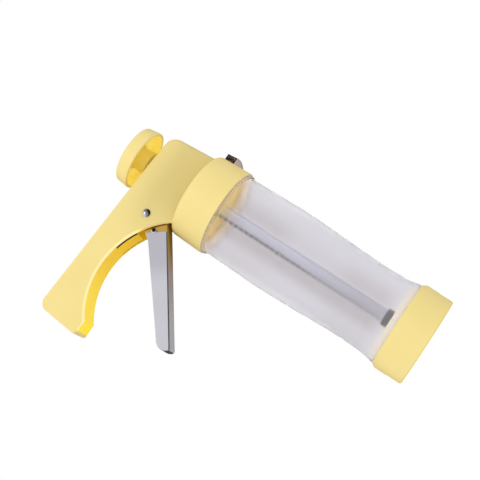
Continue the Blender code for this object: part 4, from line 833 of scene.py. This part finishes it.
# Pull knob: a yellow moulded disc that tapers a little to the rear, hollow underneath so that the
# fingertips catch its rim, with a hub on the rod's end and a slotted steel screw through its face.
KNOB_FRONT, KNOB_TOP = 0.21528, 0.22447
KNOB_RADIUS, KNOB_REAR_RADIUS, KNOB_ROUND = 0.0208, 0.0196, 0.0014
RIM_WALL, TOP_WALL = 0.0024, 0.0036
HUB_RADIUS, HUB_ROOT, HUB_FOOT = 0.0084, 0.0076, 0.2106
SCREW_HEAD, SCREW_SHANK, SCREW_SEAT, SCREW_FLOOR = 0.0042, 0.0019, 0.22228, 0.21908
HUB_EDGE = 0.0003
KNOB_TONE, HUB_PAINTED_SHADE = (0.88, 0.75, 0.16), (0.62, 0.46, 0.08)
HOLLOW_SKIN, HUB_SKIN, FACE_SKIN, HUB_CHANGE = 0.0005, 0.0006, 0.0008, 0.000006
under = KNOB_TOP - TOP_WALL
rim_bore = KNOB_RADIUS - RIM_WALL
rod_bore = ROD_RADIUS + CLEARANCE
screw_bore, head_bore = SCREW_SHANK + CLEARANCE, SCREW_HEAD + CLEARANCE
screw_floor, screw_seat = SCREW_FLOOR - CLEARANCE, SCREW_SEAT - CLEARANCE
knob = smooth(turned("pull_knob_moulding", rounded([
    (KNOB_REAR_RADIUS, KNOB_TOP, KNOB_ROUND), (KNOB_RADIUS, KNOB_FRONT, KNOB_ROUND / 2),
    (rim_bore, KNOB_FRONT, KNOB_ROUND / 2), (rim_bore, under, WALL_FILLET), (HUB_ROOT, under, WALL_FILLET),
    (HUB_RADIUS, HUB_FOOT, HUB_EDGE), (rod_bore, HUB_FOOT, 0), (rod_bore, screw_floor, 0),
    (screw_bore, screw_floor, 0), (screw_bore, screw_seat, 0), (head_bore, screw_seat, 0),
    (head_bore, KNOB_TOP, HUB_EDGE)], 10)))


def knob_hollow(finish):
    """1 on the rim's inner wall, the hub and the underside of the face; their tones, painted deeper for
    bounced light and darkest, as painted shade, on the hub; and their painted glow.
    """
    x, y = finish.part("X"), finish.part("Y")
    width = x * x + y * y
    hollow = width.below((rim_bore + HOLLOW_SKIN) ** 2, ROUND_CHANGE)
    hollow = hollow * finish.part("Z").below(KNOB_TOP - FACE_SKIN, CRISP)
    hub = width.below((HUB_RADIUS + HUB_SKIN) ** 2, HUB_CHANGE)
    tone = (hub + finish.grain(TONE_CLOUD) * 0.4 - 0.2).blend(KNOB_TONE, HUB_PAINTED_SHADE)
    return hollow, tone, PAINTED_GLOW


dress(knob, moulded_yellow("knob_yellow", knob_hollow), "yellow_plastic", "rod", "pull_knob")
carried_over("knob_screw", machined)

# Release: a metal thumb piece on the collar, knurled where the thumb pushes and rounded down in front.
# Its stem holds the sheet-steel catch round the rod, and a small coil spring pushes both back out.
DOME_LENGTH = 0.0054
NOSE_HEIGHT = 0.0005
BUTTON_SINK = 0.0012
REAR_DROP = 0.0007
KNURL_PITCH = 0.00084
KNURL_DEPTH = 0.00032
SIDE_ROUND = 0.0007
KNURL_SHADE, KNURL_SPECK = (0.020, 0.015, 0.013), (0.300, 0.230, 0.160)
DOME_TONE = (0.640, 0.510, 0.470)
SPECK_SIZE, WORN_SIZE = 0.0009, 0.002


def knurled_thumb_piece(rows=120, columns=72):
    """x = top(z) - round(y) - knurl: a flat-backed dome whose rear is cut by two sets of V grooves."""
    along = np.linspace(0, BUTTON_LENGTH, rows)[:, None]
    side = np.linspace(-BUTTON_HALF_WIDTH, BUTTON_HALF_WIDTH, columns)[None]
    low = BUTTON_TOP - BUTTON_DEPTH
    nose = low + BUTTON_SINK + NOSE_HEIGHT
    quarter = np.arccos(1 - np.clip(along / DOME_LENGTH, 0, 1))
    behind = np.clip((along - DOME_LENGTH) / (BUTTON_LENGTH - DOME_LENGTH), 0, 1)
    top = nose + (BUTTON_TOP - nose) * np.sin(quarter) - REAR_DROP * behind
    over = np.clip(np.abs(side) - BUTTON_HALF_WIDTH + SIDE_ROUND, 0, SIDE_ROUND)
    drop = SIDE_ROUND - np.sqrt(SIDE_ROUND ** 2 - over ** 2)
    groove = [np.abs(2 * np.mod((along + s * side) / (KNURL_PITCH * np.sqrt(2)), 1) - 1) for s in (-1, 1)]
    knurl = KNURL_DEPTH * np.maximum(*groove) ** 3 * (behind > 0) * (behind < 1)
    x = np.broadcast_to(top - drop - knurl, (rows, columns))
    y = np.broadcast_to(side, x.shape)
    z = np.broadcast_to(BUTTON_FRONT + along, x.shape)
    skirt = [np.stack([np.full((rows, 1), low), y[:, k:k + 1], z[:, :1]], -1) for k in (0, columns - 1)]
    points = np.concatenate([skirt[0], np.stack([x, y, z], -1), skirt[1]], 1)
    count = columns + 2
    ends = [list(range(count)), list(range((rows - 1) * count, rows * count))]
    return solid("knurled_thumb_piece", points, quads(rows, count) + ends)


thumb_piece = smooth(knurled_thumb_piece(), 40.0)
button_metal = Finish("button_metal", Metallic=0.75)
knurled = button_metal.part("Z").above(BUTTON_FRONT + DOME_LENGTH, SKIN)
specks = button_metal.grain(SPECK_SIZE, 1.0).above(0.60, 0.05).blend(KNURL_SHADE, KNURL_SPECK)
button_metal.feed(Base_Color=knurled.blend(DOME_TONE, specks),
                  Roughness=button_metal.grain(WORN_SIZE) * 0.2 + 0.22)
dress(thumb_piece, button_metal, "polished_steel", "release", "release_button")
carried_over("release_catch", machined)
wound("release_spring_turns", "release_spring", spring_wire)

# Barrel: a frosted, see-through moulded tube with a straight bore. Outside it is a little barrelled
# behind and waisted in front, with a lip against the collar and a threaded foot inside the cap.
BORE_RADIUS = 0.0245
TUBE_RADIUS = 0.0278
LIP_RADIUS = 0.0290
LIP_TOP, LIP_LOW = 0.1492, 0.1474
TUBE_FLARE, TUBE_FRONT, TUBE_TOP = 0.0220, 0.0041, 0.1552
FOOT_RADIUS = 0.0268
LIP_INSET, LIP_EDGE, TAIL_EDGE = 0.002, 0.0003, 0.0004
STREAK_SIZE = 0.006
STREAK, STREAK_PALE = (0.830, 0.820, 0.860), (0.880, 0.870, 0.900)
BAND_PAINTED_SHADE, LIP_TONE = (0.670, 0.640, 0.650), (0.660, 0.600, 0.620)
FROST, FROST_SIZE, FROST_SPREAD, LIP_FROST = 0.33, 0.0015, 0.06, 0.30
NEAR_CHANGE = 0.004
SIDE_EDGE, UNDER_FROM, UNDER_TO, UNDER_END = -0.0195, -0.0115, -0.0085, -0.0040
OVER_FROM, OVER_TO, OVER_FADE, OVER_END = -0.0010, 0.0025, 0.0040, 0.0190
TUBE_MIDDLE, MIDDLE_FROM, MIDDLE_TO = 0.083, 0.010, 0.030
LIP_SKIN, LIP_CHANGE, LIP_START, LIP_START_CHANGE = 0.0008, 0.00001, 0.0010, 0.0004
BAND_FROM, BAND_TO = 0.0230, 0.0370
WALL_SHARES = ((0.00, 0.996), (0.14, 1.010), (0.31, 1.024), (0.42, 1.014), (0.54, 0.993),
               (0.64, 0.968), (0.79, 0.944), (0.86, 0.946), (0.94, 0.962), (1.00, 1.014))


def smooth_through(stations, share):
    """Cubic pieces through (share, value) stations, whose slopes are those of each one's neighbours."""
    at, value = np.array(stations).T
    wide, narrow = np.arange(len(at)) + 1, np.arange(len(at)) - 1
    wide, narrow = np.minimum(wide, len(at) - 1), np.maximum(narrow, 0)
    slope = (value[wide] - value[narrow]) / (at[wide] - at[narrow])
    i = np.clip(np.searchsorted(at, share, side="left") - 1, 0, len(at) - 2)
    span = at[i + 1] - at[i]
    k = (share - at[i]) / span
    return ((1 + 2 * k) * (1 - k) ** 2 * value[i] + k * (1 - k) ** 2 * span * slope[i]
            + k * k * (3 - 2 * k) * value[i + 1] + k * k * (k - 1) * span * slope[i + 1])


share = np.linspace(0, 1, 110)
wall = np.stack([TUBE_RADIUS * smooth_through(WALL_SHARES, share),
                 LIP_LOW + (TUBE_FLARE - LIP_LOW) * share], 1)
tail_radius = SOCKET_RADIUS - CLEARANCE
tube_section = np.concatenate([
    rounded([(LIP_RADIUS - LIP_INSET, TUBE_TOP, 0), (tail_radius, TUBE_TOP, TAIL_EDGE),
             (tail_radius, LIP_TOP, 0), (LIP_RADIUS, LIP_TOP, LIP_EDGE),
             (LIP_RADIUS, LIP_LOW, LIP_EDGE), (LIP_RADIUS - LIP_INSET, LIP_LOW, 0)], 6)[1:-1],
    wall, [(FOOT_RADIUS, TUBE_FLARE), (FOOT_RADIUS, TUBE_FRONT), (BORE_RADIUS, TUBE_FRONT),
           (BORE_RADIUS, TUBE_TOP)]])
tube = smooth(turned("frosted_tube", tube_section, 224))
frosted = Finish("frosted_tube_plastic", IOR=1.09, Transmission_Weight=0.92)
streaks = frosted.grain(STREAK_SIZE, 2.0, (1.0, 1.0, 0.12)).blend(STREAK, STREAK_PALE)
# Painted shade on the near half of the wall: soft darker bands along the rod's line below and above it, and
# one towards the side, fading out towards the cap.
across, near = frosted.part("X"), frosted.part("Y").below(0.0, NEAR_CHANGE)
low_band = across.between(SIDE_EDGE, UNDER_FROM, 0.0, 1.0) * across.between(UNDER_TO, UNDER_END, 1.0, 0.0)
high_band = across.between(OVER_FROM, OVER_TO, 0.0, 0.78) * across.between(OVER_FADE, OVER_END, 1.0, 0.0)
side_band = across.between(SIDE_EDGE, UNDER_FROM, 0.34, 0.0)
ends = (frosted.part("Z") - TUBE_MIDDLE).size().between(MIDDLE_FROM, MIDDLE_TO, 0.45, 1.0)
band = (low_band + (high_band + side_band) * ends) * frosted.part("Z").between(BAND_FROM, BAND_TO, 0.0, 1.0)
width = across * across + frosted.part("Y") * frosted.part("Y")
lip = width.above((LIP_RADIUS - LIP_SKIN) ** 2, LIP_CHANGE)
lip = lip * frosted.part("Z").above(LIP_LOW - LIP_START, LIP_START_CHANGE)
wall_painted_shade = (band * near).blend(streaks, BAND_PAINTED_SHADE)
frosted.feed(Base_Color=lip.blend(wall_painted_shade, LIP_TONE),
             Roughness=frosted.grain(FROST_SIZE) * FROST_SPREAD + lip * LIP_FROST + FROST)
dress(tube, frosted, "frosted_plastic", "barrel", "barrel_tube")

# Cap: a yellow moulded ring that screws on the tube's foot, chamfered behind and open in front, and
# the loose pressed disc with its flower of holes that it holds against the tube.
CAP_RADIUS, CAP_HEIGHT, CAP_WALL, CAP_LIP = 0.0300, 0.0217, 0.0029, 0.0020
MOUTH_RADIUS = 0.0220
CHAMFER_HEIGHT, REAR_LAND = 0.0031, 0.0012
CAP_FRONT_ROUND = 0.0015
INNER_EDGE, REAR_EDGE, CHAMFER_EDGE, MOUTH_EDGE, LIP_TOP_EDGE = 0.0002, 0.0004, 0.0008, 0.0004, 0.0003
DISC = (0.620, 0.620, 0.640)
cap_inner = CAP_RADIUS - CAP_WALL
cap = smooth(turned("cap_ring_moulding", rounded([
    (cap_inner, CAP_HEIGHT, INNER_EDGE), (cap_inner + REAR_LAND, CAP_HEIGHT, REAR_EDGE),
    (CAP_RADIUS, CAP_HEIGHT - CHAMFER_HEIGHT, CHAMFER_EDGE), (CAP_RADIUS, 0, CAP_FRONT_ROUND),
    (MOUTH_RADIUS, 0, MOUTH_EDGE), (MOUTH_RADIUS, CAP_LIP, LIP_TOP_EDGE), (cap_inner, CAP_LIP, 0)], 8), 224))
dress(cap, moulded_yellow("cap_yellow"), "yellow_plastic", "cap", "front_cap")
carried_over("pattern_disc", plain_steel("disc_steel", DISC, 0.30))

# Studio: a white floor under the cap and a white surround. Soft light comes from over the camera.
FLOOR_SIZE = 6.0
FOCAL, FILM, PICTURE = 933.0, 36.0, 480.0
CAMERA_PLACE = (-0.08913, -0.57737, 0.01223)
CAMERA_RIGHT = (0.56366, 0.09358, -0.82069)
CAMERA_UP = (0.81509, -0.22401, 0.53427)
CAMERA_LOOK = (0.13385, 0.97008, 0.20255)

LIT_SIDE = (-0.560, -0.740, 0.370)
SOFT_DOME = (0.86, 1.03)
SHINE_DOME = (0.06, 0.74)
SHINE_BEHIND = 0.42
KEY_PLACE, KEY_AIM, KEY_SIZE, KEY_STRENGTH = (-0.35, -0.80, 0.75), (-0.02, 0.0, 0.14), 0.5, 1.2

floor_mesh = bpy.data.meshes.new("floor")
reach = FLOOR_SIZE / 2
floor_mesh.from_pydata([(-reach, -reach, 0), (reach, -reach, 0), (reach, reach, 0), (-reach, reach, 0)], [],
                       [(0, 1, 2, 3)])
floor = bpy.data.objects.new("floor", floor_mesh)
bpy.context.scene.collection.objects.link(floor)
white = Finish("white_floor", Base_Color=(0.9, 0.9, 0.9, 1.0), Roughness=0.9,
               Emission_Color=(1.0, 1.0, 1.0, 1.0), Emission_Strength=0.9)
floor.data.materials.append(white.material)
for ray in ("diffuse", "glossy", "transmission", "shadow"):
    setattr(floor, "visible_" + ray, False)


def softbox(name, place, aim, size, strength):
    """A square soft light at a place that looks at an aim."""
    lamp = bpy.data.lights.new(name, "AREA")
    lamp.shape = "SQUARE"
    lamp.size = size
    lamp.energy = strength
    box = bpy.data.objects.new(name, lamp)
    box.location = place
    away = Vector(place) - Vector(aim)
    box.rotation_euler = away.to_track_quat("Z", "Y").to_euler()
    bpy.context.scene.collection.objects.link(box)


softbox("key", KEY_PLACE, KEY_AIM, KEY_SIZE, KEY_STRENGTH)

world = bpy.data.worlds.new("studio")
bpy.context.scene.world = world
world.use_nodes = True
world_tree = world.node_tree
heading = Signal(world_tree, world_tree.nodes.new("ShaderNodeTexCoord").outputs["Object"])
facing = heading.node("ShaderNodeVectorMath", {"operation": "DOT_PRODUCT"}, {0: heading, 1: LIT_SIDE},
                      "Value")
path = world_tree.nodes.new("ShaderNodeLightPath")
on_camera, on_shine, through = [Signal(world_tree, path.outputs[f"Is {kind} Ray"])
                                for kind in ("Camera", "Glossy", "Transmission")]
light = facing.between(-0.7, 0.9, *SOFT_DOME)
shine = facing.between(-0.5, 0.9, *SHINE_DOME) + facing.between(-0.6, -0.95, 0.0, SHINE_BEHIND)
light = light + on_shine * (shine - light)
white_behind = (on_camera + through).above(0.5, 0.4)
light = light + white_behind * (1 - light)
backdrop = light.node("ShaderNodeBackground", {}, {"Color": (1.0, 1.0, 1.0, 1.0), "Strength": light})
world_tree.links.new(backdrop.socket, world_tree.nodes["World Output"].inputs["Surface"])
bpy.context.scene.view_settings.view_transform = "Standard"

lens = bpy.data.cameras.new("camera")
lens.sensor_width = FILM
lens.lens = FOCAL / PICTURE * FILM
lens.clip_start = 0.01
camera = bpy.data.objects.new("camera", lens)
bpy.context.scene.collection.objects.link(camera)
axes = np.stack([CAMERA_RIGHT, CAMERA_UP, -np.array(CAMERA_LOOK)], 1)
turned_matrix = np.eye(4)
turned_matrix[:3, :3] = axes
turned_matrix[:3, 3] = CAMERA_PLACE
camera.matrix_world = Matrix(turned_matrix.tolist())
bpy.context.scene.camera = camera
